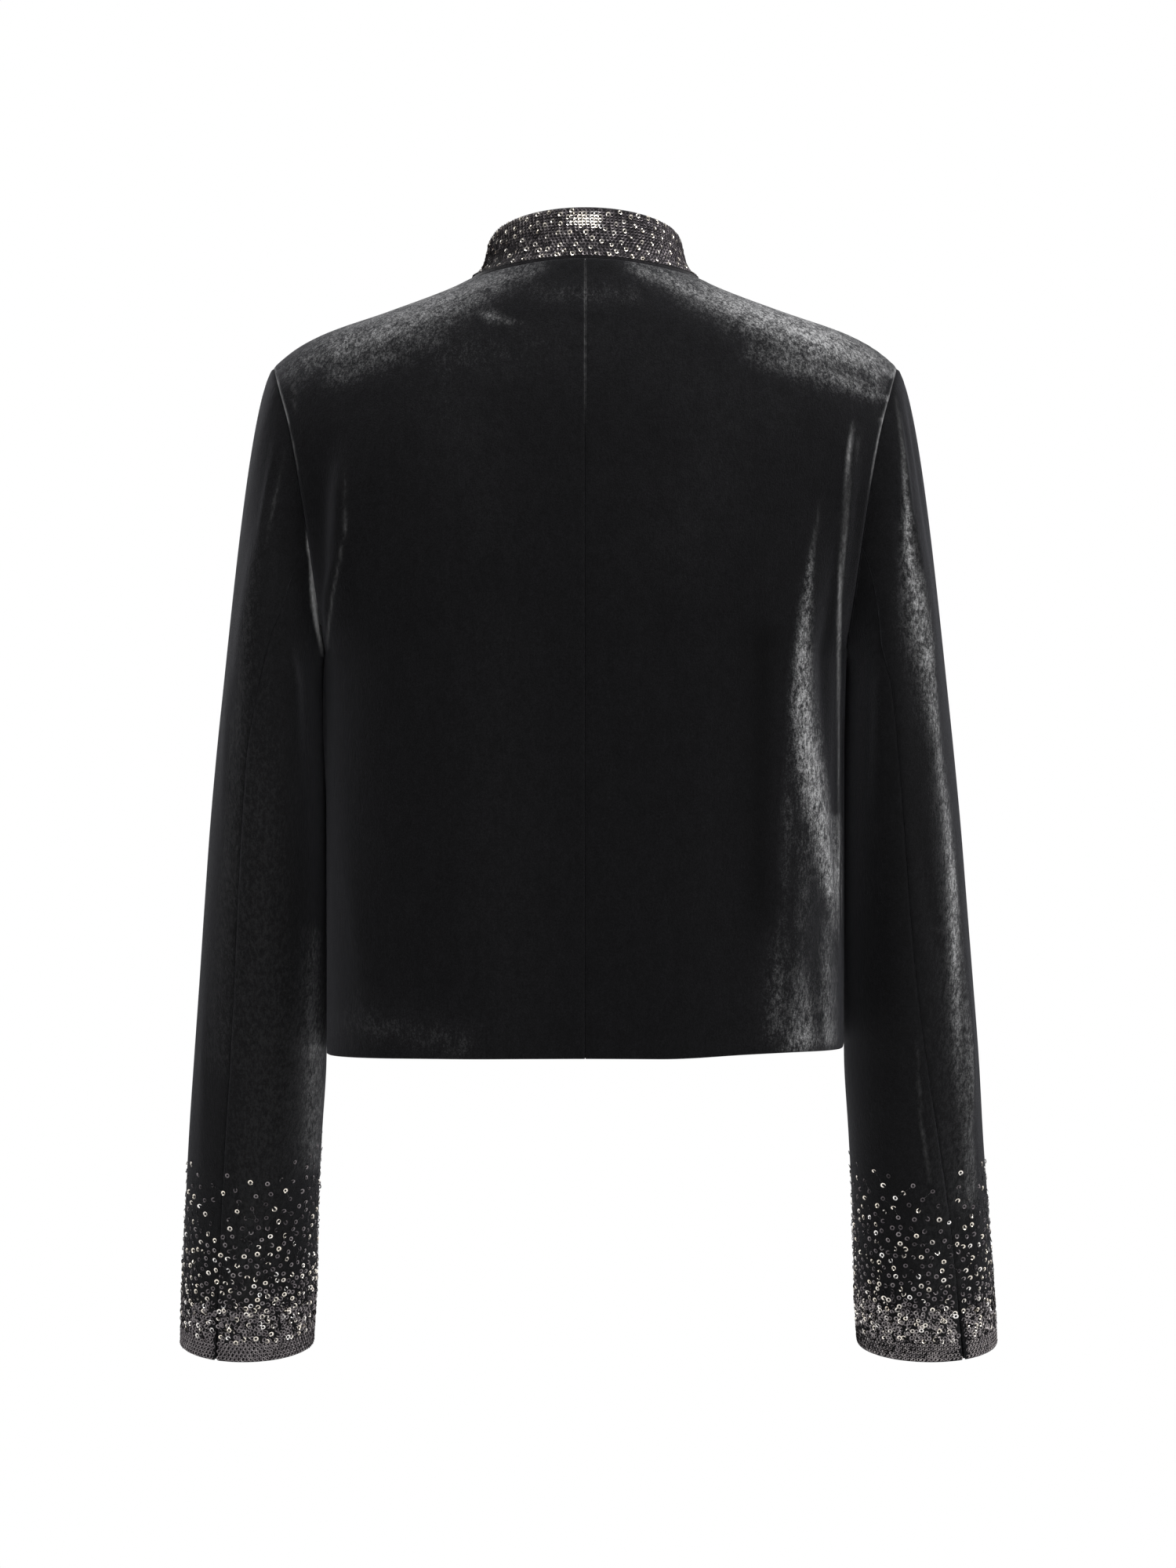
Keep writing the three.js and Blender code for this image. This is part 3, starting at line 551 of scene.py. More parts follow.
def wall_mesh(outer, inner, flip, rims):
    """A closed wall from grids of outer and inner points, with one more line of points round its rim.

    rims says how far each edge bulges out: bottom, top, first and last. Returns points, faces and
    whether each face is inside.
    """
    rows, columns = outer.shape[:2]
    count = rows * columns
    index = np.arange(count).reshape(rows, columns)

    def quads(*corners):
        return np.stack(corners if flip < 0 else corners[::-1], axis=-1).reshape(-1, 4)

    a, b = index[:-1, :-1], index[:-1, 1:]
    c, d = index[1:, 1:], index[1:, :-1]
    outside = quads(a, b, c, d)
    inside = quads(a + count, d + count, c + count, b + count)
    edges = {
        "bottom": (index[0], index[1]),
        "last": (index[:, -1], index[:, -2]),
        "top": (index[-1, ::-1], index[-2, ::-1]),
        "first": (index[::-1, 0], index[::-1, 1]),
    }
    flat_outer, flat_inner = outer.reshape(-1, 3), inner.reshape(-1, 3)
    loop, rim_points = [], []
    for name, (edge, beside) in edges.items():
        edge, beside = edge[:-1], beside[:-1]
        outward = unit(flat_outer[edge] - flat_outer[beside])
        loop.append(edge)
        rim_points.append((flat_outer[edge] + flat_inner[edge]) / 2 + outward * rims[name])
    loop = np.concatenate(loop)
    rim_points = np.concatenate(rim_points)
    rim = 2 * count + np.arange(len(loop))
    following, rim_following = np.roll(loop, -1), np.roll(rim, -1)
    wall = np.concatenate(
        [
            quads(loop, rim, rim_following, following),
            quads(rim, loop + count, following + count, rim_following),
        ]
    )
    points = np.concatenate([flat_outer, flat_inner, rim_points])
    faces = np.concatenate([outside, inside, wall])
    is_inside = np.concatenate([np.zeros(len(outside)), np.ones(len(inside)), np.zeros(len(wall))])
    return points, faces, is_inside


SEAM_ROLL = {"depth": 0.55, "width": 1.0}
PUCKER = {"height": 0.16, "reach": 7, "start": 1.5}  # of the cloth beside a seam
WAVES = {"down": 0.9, "across": 0.5, "slow": 0.37}  # radians a millimetre
TURNING_FADE = 1  # over which a turning's inner edge dies out, to each side
HEM_BULGE = 0.55
FAR = 99.0
# A strip of turning under a neighbour: how far below its turning, how thick, and how far it runs
STRIP = {"below": 0.15, "thickness": 0.4, "inset": 1.5, "centre_back": 5}


def cloth_piece(name, surface, normals_at_edges, lines, flip, painted_sheen_and_shade, painted_even_highlight, strips=()):
    """A panel of velvet. surface is its grid of outer points, before the seams pull it in.

    lines holds the panel's edges: seams pull the cloth in, turn inside and free edges are rounded.
    """
    normals = grid_normals(surface, flip)
    for rows, columns, values in normals_at_edges:
        normals[rows, columns] = values
    thickness = np.full(surface.shape[:2], CLOTH)
    seam_distance = np.full(surface.shape[:2], FAR)
    for kind, _, line in lines:
        distance = distance_to(surface, line)
        if kind == "seam":
            seam_distance = np.minimum(seam_distance, distance)
        width = HEM_WIDTH if kind == "hem" else TURNING_WIDTH
        turning = TURNING * (1 - smoothstep(distance, width - TURNING_FADE, width + TURNING_FADE))
        thickness = np.maximum(thickness, CLOTH + turning)
    roll = SEAM_ROLL["depth"] * np.exp(-((seam_distance / SEAM_ROLL["width"]) ** 2))
    pucker = PUCKER["height"] * np.exp(-seam_distance / PUCKER["reach"])
    pucker = pucker * (1 - np.exp(-seam_distance / PUCKER["start"]))
    x, z = surface[..., 0], surface[..., 2]
    waves = np.sin(z * WAVES["down"] + x * WAVES["across"]) + np.sin(z * WAVES["slow"])
    outer = surface + normals * (pucker * waves - roll)[..., None]
    inner = surface - normals * thickness[..., None]
    rims = {edge: HEM_BULGE if kind == "hem" else 0.0 for kind, edge, _ in lines}
    points, faces, inside = wall_mesh(outer, inner, flip, rims)
    for top, under in strips:
        more, more_faces, _ = wall_mesh(top, under, flip, dict.fromkeys(rims, 0.0))
        faces = np.concatenate([faces, more_faces + len(points)])
        inside = np.concatenate([inside, np.zeros(len(more_faces))])
        points = np.concatenate([points, more])
    unpainted = np.zeros(len(points) - painted_sheen_and_shade.size)
    # The painted sheen and shade and the even painted highlights ride on the points as attributes
    attributes = {
        "painted_sheen_and_shade": np.concatenate([painted_sheen_and_shade.ravel(), unpainted]),
        "seam": np.concatenate([painted_even_highlight.ravel(), unpainted]),
    }
    piece = add_mesh(name, points, faces, ["velvet", "velvet_back"], inside, attributes)
    return piece


def underlap(line, outward, normals, reach):
    """A strip of turning that runs on from an edge, under the neighbouring piece."""
    depth = CLOTH + TURNING + STRIP["below"]
    across = np.array([-STRIP["inset"], reach])
    top = line[:, None] + outward[:, None] * across[:, None] - normals[:, None] * depth
    return top, top - normals[:, None] * STRIP["thickness"]


# Strokes of widths between these are mottled, and narrower and wider ones are even.
MOTTLED = {"narrow": (1.8, 3.6), "wide": (30, 38)}
STROKE_FALL = 1.7  # how fast a mottled stroke fades beside its middle


def paint(points, strokes):
    """How much painted highlight or shade strokes on the plane through the shoulders give each point.

    Returns the mottled share, of wide strokes, and the even share, of narrow and very wide ones.
    """
    scale = VIEW["away"] / (VIEW["away"] - np.abs(points[..., 1]))
    x = VIEW["x"] + (points[..., 0] - VIEW["x"]) * scale
    z = VIEW["z"] + (points[..., 2] - VIEW["z"]) * scale
    light, dark, even = np.zeros(x.shape), np.zeros(x.shape), np.zeros(x.shape)
    rows = list(strokes.rows())
    for start, end in zip(rows[:-1], rows[1:]):
        if start["path"] != end["path"]:
            continue
        dx, dz = end["x"] - start["x"], end["z"] - start["z"]
        along = ((x - start["x"]) * dx + (z - start["z"]) * dz) / (dx * dx + dz * dz)
        along = np.clip(along, 0, 1)
        square = (x - start["x"] - along * dx) ** 2 + (z - start["z"] - along * dz) ** 2
        width = start["width"] + (end["width"] - start["width"]) * along
        strength = start["strength"] + (end["strength"] - start["strength"]) * along
        mottled = smoothstep(width, *MOTTLED["narrow"]) * (1 - smoothstep(width, *MOTTLED["wide"]))
        wide = strength / (1 + square / width**2) ** STROKE_FALL
        light, dark = np.maximum(light, wide * mottled), np.minimum(dark, wide)
        even = np.maximum(even, strength * np.exp(-square / width**2) * (1 - mottled))
    return light + dark, even


def body_levels():
    """Heights of a body panel's rows from hem to neck."""
    below = HEM + (UNDERARM - HEM) * fine_steps(UNDERARM - HEM, STEP, end=False)
    beside = armhole_level(np.linspace(180, 0, ARMHOLE_ROWS))
    above = SHOULDER_TIP + (NECK - SHOULDER_TIP) * fine_steps(SHOULDER_LENGTH, STEP, start=False)
    return np.concatenate([below[:-1], beside, above[1:]])


# How far the hem is drawn up, over what height, and between what angles along the back, along the
# front and where it rounds the side seam
HEM_LIFT = {"along": 4, "corner": 6, "height": 60}
HEM_LIFT_ANGLES = {"back": (25, 65), "front": (60, 90), "corner": (79, 90)}


def hem_rise(level, angle):
    """How far the hem is drawn up on the wearer's right, most where it rounds the side seam."""
    from_front = 180 - angle
    back = smoothstep(angle, *HEM_LIFT_ANGLES["back"])
    front = smoothstep(from_front, *HEM_LIFT_ANGLES["front"])
    along = np.where(angle <= 90, back, front)
    corner = smoothstep(np.minimum(angle, from_front), *HEM_LIFT_ANGLES["corner"]) ** 2
    fade = smoothstep(level, HEM + HEM_LIFT["height"], HEM)
    return (HEM_LIFT["along"] * along + HEM_LIFT["corner"] * corner) * fade


# Where cloth faces sideways its painted sheen is weaker, by this share.
SIDEWAYS = {
    "body": {"share": 0.9, "from": 0.94, "to": 0.99},
    "sleeve": {"share": 0.85, "from": 0.8, "to": 0.97},
}
# Painted highlights beside the armhole seam, and along the centre-back seam, stronger towards the top
ARMHOLE_LIGHT = {"beside": 1.2, "width": 0.8}
CENTRE_LIGHT = {"low": 0.14, "more": 0.3, "from": -110, "to": -80, "width": 0.8}


def left_of_sheen(facing, kind):
    """What is left of the painted sheen and shade where the cloth faces sideways."""
    fade = SIDEWAYS[kind]
    return 1 - fade["share"] * smoothstep(facing, fade["from"], fade["to"])


def body_panel(node, at_back, side):
    direction = 1 if at_back else -1
    levels = body_levels()
    beside = (levels >= UNDERARM) & (levels <= SHOULDER_TIP)
    edge = np.where(beside, armhole_angle(levels, at_back), 90.0)[:, None]
    share = fine_steps(BODY_WIDTH, STEP_ACROSS)
    angle = edge * share if at_back else 180 - (180 - edge) * share
    level = np.repeat(levels[:, None], len(share), axis=1)
    surface = body_point(level, angle, side)
    if side < 0:
        surface[..., 2] += hem_rise(level, angle)
    surface[:, 0, 0] = side * (SEAM_GAP if at_back else FRONT_GAP) / 2
    centre_line, outer_line = surface[:, 0].copy(), surface[:, -1].copy()
    lines = [
        ("hem", "bottom", surface[0].copy()),
        ("seam", "top", surface[-1].copy()),
        ("seam", "last", outer_line),
        ("seam" if at_back else "hem", "first", centre_line),
    ]
    surface[:, -1] += unit(surface[:, -2] - surface[:, -1]) * SEAM_GAP / 2
    surface[-1] += unit(surface[-2] - surface[-1]) * SEAM_GAP / 2
    mitre = armhole_mitre(armhole_turn(levels[beside]) * direction, side)
    edges = [
        (np.flatnonzero(beside), -1, mitre),
        (-1, slice(None), neck_mitre(angle[-1], side)),
    ]
    # Painted sheen and painted shade from the strokes, weaker where the cloth faces sideways
    left = left_of_sheen(np.abs(grid_normals(surface, 1)[..., 0]), "body")
    painted_sheen_and_shade, painted_even_highlight = (painted * left for painted in paint(surface, BODY_SHEEN))
    # Painted highlight along the armhole seam and, at the back, along the centre-back seam
    from_edge = distance_to(surface, outer_line[beside]) - ARMHOLE_LIGHT["beside"]
    strength = SEAM_SHEEN.at(surface[..., 2], "left" if side > 0 else "right")
    painted_even_highlight = np.maximum(painted_even_highlight, strength * np.exp(-((from_edge / ARMHOLE_LIGHT["width"]) ** 2)))
    if at_back:
        upper = smoothstep(surface[..., 2], CENTRE_LIGHT["from"], CENTRE_LIGHT["to"])
        strength = CENTRE_LIGHT["low"] + CENTRE_LIGHT["more"] * upper
        fade = np.exp(-((surface[..., 0] / CENTRE_LIGHT["width"]) ** 2))
        painted_even_highlight = np.maximum(painted_even_highlight, fade * strength)
    strips = []
    if at_back and side > 0:
        outward = np.broadcast_to([-1.0, 0, 0], centre_line.shape)
        behind = grid_normals(surface, side)[:, 0]
        strips.append(underlap(centre_line, outward, behind, STRIP["centre_back"]))
    piece = cloth_piece(node + "_cloth", surface, edges, lines, side * direction, painted_sheen_and_shade, painted_even_highlight, strips)
    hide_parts(node)
    return piece


def sleeve_panel(node, is_upper, side):
    seams = SLEEVE_SEAMS[side]
    cap = fine_steps(CAP_LENGTH, STEP, end=False) * CAP_SHARE
    arm = CAP_SHARE + (1 - CAP_SHARE) * fine_steps(ARM_LENGTH, STEP, start=False)
    downs = np.concatenate([cap[:-1], arm])
    back, front = seams.at(downs, "back"), seams.at(downs, "front")
    start, end = (front, back + 360) if is_upper else (back, front)
    share = fine_steps(SLEEVE_WIDTH["upper" if is_upper else "under"], STEP_ACROSS)
    turn = start[:, None] + (end - start)[:, None] * share
    down = np.repeat(downs[:, None], len(share), axis=1)
    surface = sleeve_point(down, turn, side)
    lines = [
        ("seam", "bottom", surface[0].copy()),
        ("hem", "top", surface[-1].copy()),
        ("seam", "first", surface[:, 0].copy()),
        ("seam", "last", surface[:, -1].copy()),
    ]
    vent = np.clip(1 - (1 - downs) / VENT["share"], 0, 1) * VENT["width"] / 2
    for edge, beside, is_back in ((0, 1, not is_upper), (-1, -2, is_upper)):
        inward = unit(surface[:, beside] - surface[:, edge])
        surface[:, edge] += inward * SEAM_GAP / 2
        for i in range(VENT["columns"] if is_back else 0):
            column = i if edge == 0 else -1 - i
            amount = vent * (1 - i / VENT["columns"])
            surface[:, column] += inward * amount[:, None]
    surface[0] += unit(surface[1] - surface[0]) * SEAM_GAP / 2
    edges = [(0, slice(None), armhole_mitre(turn[0], side))]
    normals = grid_normals(surface, side)
    strips = []
    if not is_upper:
        low = downs > 1 - VENT["overrun"] * VENT["share"]
        outward = unit(surface[:, 0] - surface[:, 1])[low]
        strips.append(underlap(surface[low, 0], outward, normals[low, 0], VENT["underlap"]))
    # Painted sheen from the strokes, weaker where the sleeve faces sideways
    left = left_of_sheen(side * normals[..., 0], "sleeve")
    painted_sheen_and_shade, painted_even_highlight = (painted * left for painted in paint(surface, SLEEVE_SHEEN))
    piece = cloth_piece(node + "_cloth", surface, edges, lines, side, painted_sheen_and_shade, painted_even_highlight, strips)
    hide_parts(node)
    return piece


COLLAR_HEIGHT = 34.0
COLLAR_WALL = {"thickness": 2.0, "roll": 0.7, "roll_width": 1.2, "rim": 0.8}


def collar_angles(step):
    """Angles round the collar from one front edge over the back to the other, with their sides."""
    count = round(HALF_COLLAR / step)
    half = np.linspace(0, 180, count + 1)
    angle = np.concatenate([half[::-1], half[1:]])
    side = np.concatenate([np.full(count + 1, -1.0), np.full(count, 1.0)])
    return angle, side


def collar_band():
    angle, side = collar_angles(STEP)
    rises = fine_steps(COLLAR_HEIGHT, STEP)
    rise = np.repeat(rises[:, None], len(angle), axis=1)
    angle, side = np.broadcast_to(angle, rise.shape), np.broadcast_to(side, rise.shape)
    surface = collar_point(rise, angle, side)
    surface[:, 0, 0] = -FRONT_GAP / 2
    surface[:, -1, 0] = FRONT_GAP / 2
    neck_line = surface[0].copy()
    surface[0] += unit(surface[1] - surface[0]) * SEAM_GAP / 2
    normals = grid_normals(surface, 1)
    normals[0] = np.where(side[0][:, None] < 0, neck_mitre(angle[0], -1), neck_mitre(angle[0], 1))
    above_seam = distance_to(surface, neck_line)
    roll = COLLAR_WALL["roll"] * np.exp(-((above_seam / COLLAR_WALL["roll_width"]) ** 2))
    outer = surface - normals * roll[..., None]
    inner = surface - normals * COLLAR_WALL["thickness"]
    rim = COLLAR_WALL["rim"]
    rims = {"bottom": 0.0, "top": rim, "first": rim, "last": rim}
    points, faces, inside = wall_mesh(outer, inner, 1, rims)
    piece = add_mesh("collar_band", points, faces, ["sequin_ground", "velvet_back"], inside)
    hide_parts("collar")
    return piece


# Sequins


def sequin_template():
    """One cupped sequin round its hole. Returns points, as across, up and out, and faces."""
    segments, outer, hole = SEQUIN["sides"], SEQUIN["outer"], SEQUIN["hole"]
    profile = list(zip((hole, (outer + hole) / 2, outer), SEQUIN["cup"]))
    turns = np.arange(segments) * 2 * math.pi / segments
    points = np.concatenate([stack(r * np.cos(turns), r * np.sin(turns), z) for r, z in profile])
    faces = []
    for band in range(len(profile) - 1):
        for i in range(segments):
            j = (i + 1) % segments
            low, high = band * segments, (band + 1) * segments
            faces.append((low + i, high + i, high + j, low + j))
    return points, np.array(faces)


def sequin_piece(name, centres, normals, along, tones, sizes):
    """All of a piece's sequins as one mesh: each lies at a centre, square to its own normal."""
    template, faces = sequin_template()
    x_axis = unit(along - normals * np.sum(along * normals, axis=1, keepdims=True))
    y_axis = np.cross(normals, x_axis)
    across = template[None, :, 0, None] * sizes[:, None, None] * x_axis[:, None, :]
    up = template[None, :, 1, None] * sizes[:, None, None] * y_axis[:, None, :]
    out = template[None, :, 2, None] * normals[:, None, :]
    points = centres[:, None, :] + across + up + out
    offsets = np.arange(len(centres))[:, None, None] * len(template)
    all_faces = (faces[None] + offsets).reshape(-1, 4)
    tone = np.repeat(tones, len(template))
    piece = add_mesh(name, points.reshape(-1, 3), all_faces, ["sequin"], None, {"tone": tone})
    return piece


def tilted(normals, along, random, spread, lean, tip=0.0):
    """Normals tipped at random, with a steady lean along the string and a tip across it."""
    up = np.cross(normals, along)
    tip_along = lean + random.normal(0, spread, len(normals))
    tip_up = tip + random.normal(0, spread, len(normals))
    return unit(normals + along * tip_along[:, None] + up * tip_up[:, None])


# Of the fine threads: the share of loose sequins that show one, the radius, the longest and shortest
# run, and the parts of a run that show
THREAD = {"share": 0.4, "radius": 0.09, "longest": 14, "shortest": 0.8}
THREAD_PARTS = ((0.0, 0.42), (0.58, 1.0))
# Bright tones are both a lighter, warmer tint and a painted glint
BRIGHT = 0.65  # tones above this are those of sequins that catch the light
TONE_GAP = 0.02
# The gleam is a painted reflection: the sequins there get the brightest tones and face alike
COLLAR_GLINT = {"x": 0.5, "z": 30, "half_width": 9.8, "half_height": 4.3}  # where the collar gleams
RAGGED = {"x": 1.6, "z": 0.8}  # how uneven the edge of that gleam is
RAISED_APART = 5.2  # between the collar's loose, bright sequins
COLLAR_ROWS = {"count": 15, "above": 1.5, "margin": 2.2, "end": 2.0, "apart": 2.5, "stagger": 1.2}
COLLAR_STRAY = 0.12
# Tones of the collar's sequins, with a painted shade that darkens them towards the wearer's right
COLLAR_TONES = {"from": 0.12, "to": 0.84, "painted_shade_on_right": 0.55, "over": 40, "raised": 0.94, "gleam": 0.8}
COLLAR_LEAN = {"strung": 0.22, "raised": 0.02}
COLLAR_SPREAD = {"strung": 0.08, "raised": 0.16, "gleam": 0.03}
COLLAR_LIFT = {"all": 0.15, "raised": 0.3}


def sequin_tones(random, count, bright):
    """Most sequins are dark, some are grey, and a share of them is bright or warm."""
    tone = random.uniform(0, BRIGHT - 0.05, count)
    shines = random.uniform(0, 1, count) < bright
    return np.where(shines, random.uniform(BRIGHT + 0.05, 1.0, count), tone)


def along_line(places, length, values):
    """What a line's points hold, read at places given by their length along it."""
    return np.stack([np.interp(places, length, values[:, k]) for k in range(3)], axis=1)


def collar_sequins():
    random = np.random.default_rng(SEED)
    rows = COLLAR_ROWS["count"]
    row_pitch = (COLLAR_HEIGHT - COLLAR_ROWS["margin"]) / rows
    angle, side = collar_angles(0.5)
    centres, directions, normals = [], [], []
    for i in range(rows):
        rise = np.full(len(angle), (COLLAR_ROWS["above"] + row_pitch * (i + 0.5)) / COLLAR_HEIGHT)
        line = collar_point(rise, angle, side)
        facing = collar_normal(rise, angle, -1)
        facing = np.where(side[:, None] < 0, facing, collar_normal(rise, angle, 1))
        length = np.concatenate([[0], np.cumsum(np.linalg.norm(np.diff(line, axis=0), axis=1))])
        first = COLLAR_ROWS["margin"] + (i % 2) * COLLAR_ROWS["stagger"]
        places = np.arange(first, length[-1] - COLLAR_ROWS["end"], COLLAR_ROWS["apart"])
        places = places + random.normal(0, COLLAR_STRAY, len(places))
        point, ahead = along_line(places, length, line), along_line(places + 1, length, line)
        normal = unit(along_line(places, length, facing))
        centres.append(point + normal * COLLAR_LIFT["all"])
        directions.append(unit(ahead - point))
        normals.append(normal)
    centres, along, normals = map(np.concatenate, (centres, directions, normals))
    tones = random.uniform(COLLAR_TONES["from"], COLLAR_TONES["to"], len(centres))
    # The collar's sequins are painted darker towards the wearer's right, a painted shade
    on_right = smoothstep(-centres[:, 0], -COLLAR_TONES["over"], COLLAR_TONES["over"])
    tones = np.clip(tones - COLLAR_TONES["painted_shade_on_right"] * on_right, 0, BRIGHT - TONE_GAP)
    raised = []
    for i in random.permutation(len(centres)):
        if all(np.linalg.norm(centres[i] - centres[j]) > RAISED_APART for j in raised):
            raised.append(i)
    tones[raised] = random.uniform(BRIGHT + TONE_GAP, COLLAR_TONES["raised"], len(raised))
    ragged = random.normal(0, 1, (2, len(centres)))
    reach_x = COLLAR_GLINT["half_width"] + RAGGED["x"] * ragged[0]
    reach_z = COLLAR_GLINT["half_height"] + RAGGED["z"] * ragged[1]
    shining = (np.abs(centres[:, 0] - COLLAR_GLINT["x"]) < reach_x) & (centres[:, 1] > 0)
    shining &= np.abs(centres[:, 2] - COLLAR_GLINT["z"]) < reach_z
    # Painted reflection: the gleaming sequins get the brightest tones
    tones[shining] = random.uniform(COLLAR_TONES["gleam"], 1, shining.sum())
    flat = tones > BRIGHT
    centres = centres + normals * np.where(flat & ~shining, COLLAR_LIFT["raised"], 0.0)[:, None]
    lean = np.where(flat, COLLAR_LEAN["raised"], COLLAR_LEAN["strung"])
    spread = np.where(flat, COLLAR_SPREAD["raised"], COLLAR_SPREAD["strung"])
    spread = np.where(shining, COLLAR_SPREAD["gleam"], spread)
    normals = tilted(normals, along, random, spread, lean)
    sizes = random.normal(1.0, 0.03, len(centres))
    return sequin_piece("collar_sequins", centres, normals, along, tones, sizes)


CUFF_SPACING = Table(["height", "apart"], [
    [30, 2.6], [38, 3], [46, 3.7], [58, 4.3], [74, 4.5], [86, 5], [98, 5.8], [110, 6.8], [124, 9.5],
])


CUFF = {"girth": 252.0, "length": 437.0, "dense": 34}  # the length is from the armpit ring
CUFF_MM_PER_DEGREE = 0.7
CUFF_ROWS = {"count": 14, "strung": 5, "above": 1.6, "pitch": 2.4, "stagger": 1.2, "kept": 0.94}
STRUNG = {"apart": 2.5, "stray": 0.1, "spread": 0.06, "lean": 0.12, "tip": 0.22, "size": 0.88}
UNSTRUNG = {"apart": 2.7, "stray": 0.55, "spread": 0.22, "lean": 0.0, "tip": 0.0, "size": 1}
SCATTER = {"tries": 26000, "cell": 3.0, "reach": 108, "power": 1.2}
CUFF_BRIGHT = {"dense": 0.22, "loose": 0.38}  # the share of bright sequins
# Tones of the strung rows, painted lighter on the wearer's right cuff as a painted highlight
ROW_TONES = {"from": 0.3, "to": 0.62, "painted_light_on_right": 0.14}
CUFF_OFF_CLOTH = 0.08
CUFF_LIFT = {1: 16, -1: 5, "away": 4, "power": 1.5}


def cuff_lift(turn, side):
    """How much higher the sequins reach towards the body and away from it than at the back."""
    towards = -math.cos(math.radians(turn))
    away = CUFF_LIFT["away"] * max(0, -towards) ** CUFF_LIFT["power"]
    return CUFF_LIFT[side] * max(0, towards) ** CUFF_LIFT["power"] + away


def cuff_sequins(name, side):
    """Strung rows along the cuff's edge, then ever sparser sequins with fine threads between them."""
    random = np.random.default_rng(SEED + (1 if side > 0 else 2))
    girth, cell = CUFF["girth"], SCATTER["cell"]
    placed, taken = [], {}
    for i in range(CUFF_ROWS["count"]):
        strung = i < CUFF_ROWS["strung"]
        kind = STRUNG if strung else UNSTRUNG
        for s in np.arange((i % 2) * CUFF_ROWS["stagger"], girth - 1, kind["apart"]):
            height = CUFF_ROWS["above"] + CUFF_ROWS["pitch"] * i + random.normal(0, kind["stray"])
            if strung or random.uniform(0, 1) < CUFF_ROWS["kept"]:
                placed.append((s + random.normal(0, kind["stray"]), height, 1 if strung else 0))
    for _ in range(SCATTER["tries"]):
        s = random.uniform(0, girth)
        height = CUFF["dense"] + SCATTER["reach"] * random.uniform(0, 1) ** SCATTER["power"]
        lowered = height - cuff_lift(s / girth * 360, side)
        if lowered > CUFF_SPACING.columns["height"][-1]:
            continue
        apart = float(CUFF_SPACING.at(lowered, "apart"))
        reach = math.ceil(apart / cell)
        column, row = int(s // cell), int(height // cell)
        near = (
            other
            for a in range(column - reach, column + reach + 1)
            for b in range(row - reach, row + reach + 1)
            for other in taken.get((a, b), ())
        )
        if all((s - o[0]) ** 2 + (height - o[1]) ** 2 >= apart**2 for o in near):
            taken.setdefault((column, row), []).append((s, height))
            placed.append((s, height, 0))
    spots = np.array(placed)
    turn = spots[:, 0] / girth * 360
    down = 1 - spots[:, 1] / CUFF["length"] * (1 - CAP_SHARE)
    back = SLEEVE_SEAMS[side].at(down, "back")
    from_seam = np.abs((turn - back + 180) % 360 - 180) * CUFF_MM_PER_DEGREE
    bare = BARE_VENT[side]
    keep = from_seam > np.where(spots[:, 1] < bare["height"], bare["half_width"], BARE_SEAM)
    spots, turn, down = spots[keep], turn[keep], down[keep]
    centre = sleeve_point(down, turn, side)
    normal = sleeve_normal(np.minimum(down, NEAR["cuff"]), turn, side)
    along = unit(sleeve_point(down, turn + 0.5, side) - centre)
    strung = spots[:, 2] > 0.5
    spread, lean, tip = (np.where(strung, STRUNG[key], UNSTRUNG[key]) for key in ("spread", "lean", "tip"))
    facing = tilted(normal, along, random, spread, lean, tip)
    dense = spots[:, 1] < CUFF["dense"]
    shares = np.where(dense, CUFF_BRIGHT["dense"], CUFF_BRIGHT["loose"])
    tones = sequin_tones(random, len(spots), shares)
    rows_tone = random.uniform(ROW_TONES["from"], ROW_TONES["to"], len(spots))
    # The rows of the wearer's right cuff are painted lighter, a painted highlight
    rows_tone = np.minimum(rows_tone + (0 if side > 0 else ROW_TONES["painted_light_on_right"]), BRIGHT - TONE_GAP)
    tones = np.where(strung | (dense & (tones < BRIGHT)), rows_tone, tones)
    larger = np.where(strung, STRUNG["size"], UNSTRUNG["size"] + 0.06 * (tones > BRIGHT))
    sizes = random.normal(1.0, 0.04, len(spots)) * larger
    piece = sequin_piece(name, centre + normal * CUFF_OFF_CLOTH, facing, along, tones, sizes)
    threads = cuff_threads(name.replace("sequins", "threads"), spots, centre, normal, random)
    return piece, threads


def cuff_threads(name, spots, centre, normal, random):
    """Short runs of thread from a loose sequin to a near one."""
    loose = np.flatnonzero((spots[:, 2] < 0.5) & (spots[:, 1] > CUFF["dense"]))
    points, faces = [], []
    for i in loose:
        if random.uniform(0, 1) > THREAD["share"]:
            continue
        gaps = np.hypot(spots[loose, 0] - spots[i, 0], spots[loose, 1] - spots[i, 1])
        order = loose[np.argsort(gaps)]
        j = order[1 + int(random.integers(0, 2))]
        reach = centre[j] - centre[i]
        if np.linalg.norm(reach) > THREAD["longest"]:
            continue
        direction = unit(reach)
        start = centre[i] + direction * SEQUIN["outer"]
        stop = centre[j] - direction * SEQUIN["outer"]
        if np.linalg.norm(stop - start) < THREAD["shortest"]:
            continue
        across = np.cross(normal[i], direction) * THREAD["radius"]
        for part in THREAD_PARTS:
            base = len(points)
            for t in part:
                at = start + (stop - start) * t
                points += [at + across, at + normal[i] * 2 * THREAD["radius"], at - across]
            faces += [(base, base + 3, base + 4, base + 1), (base + 1, base + 4, base + 5, base + 2)]
    piece = add_mesh(name, points, faces, ["thread"])
    return piece


# Materials


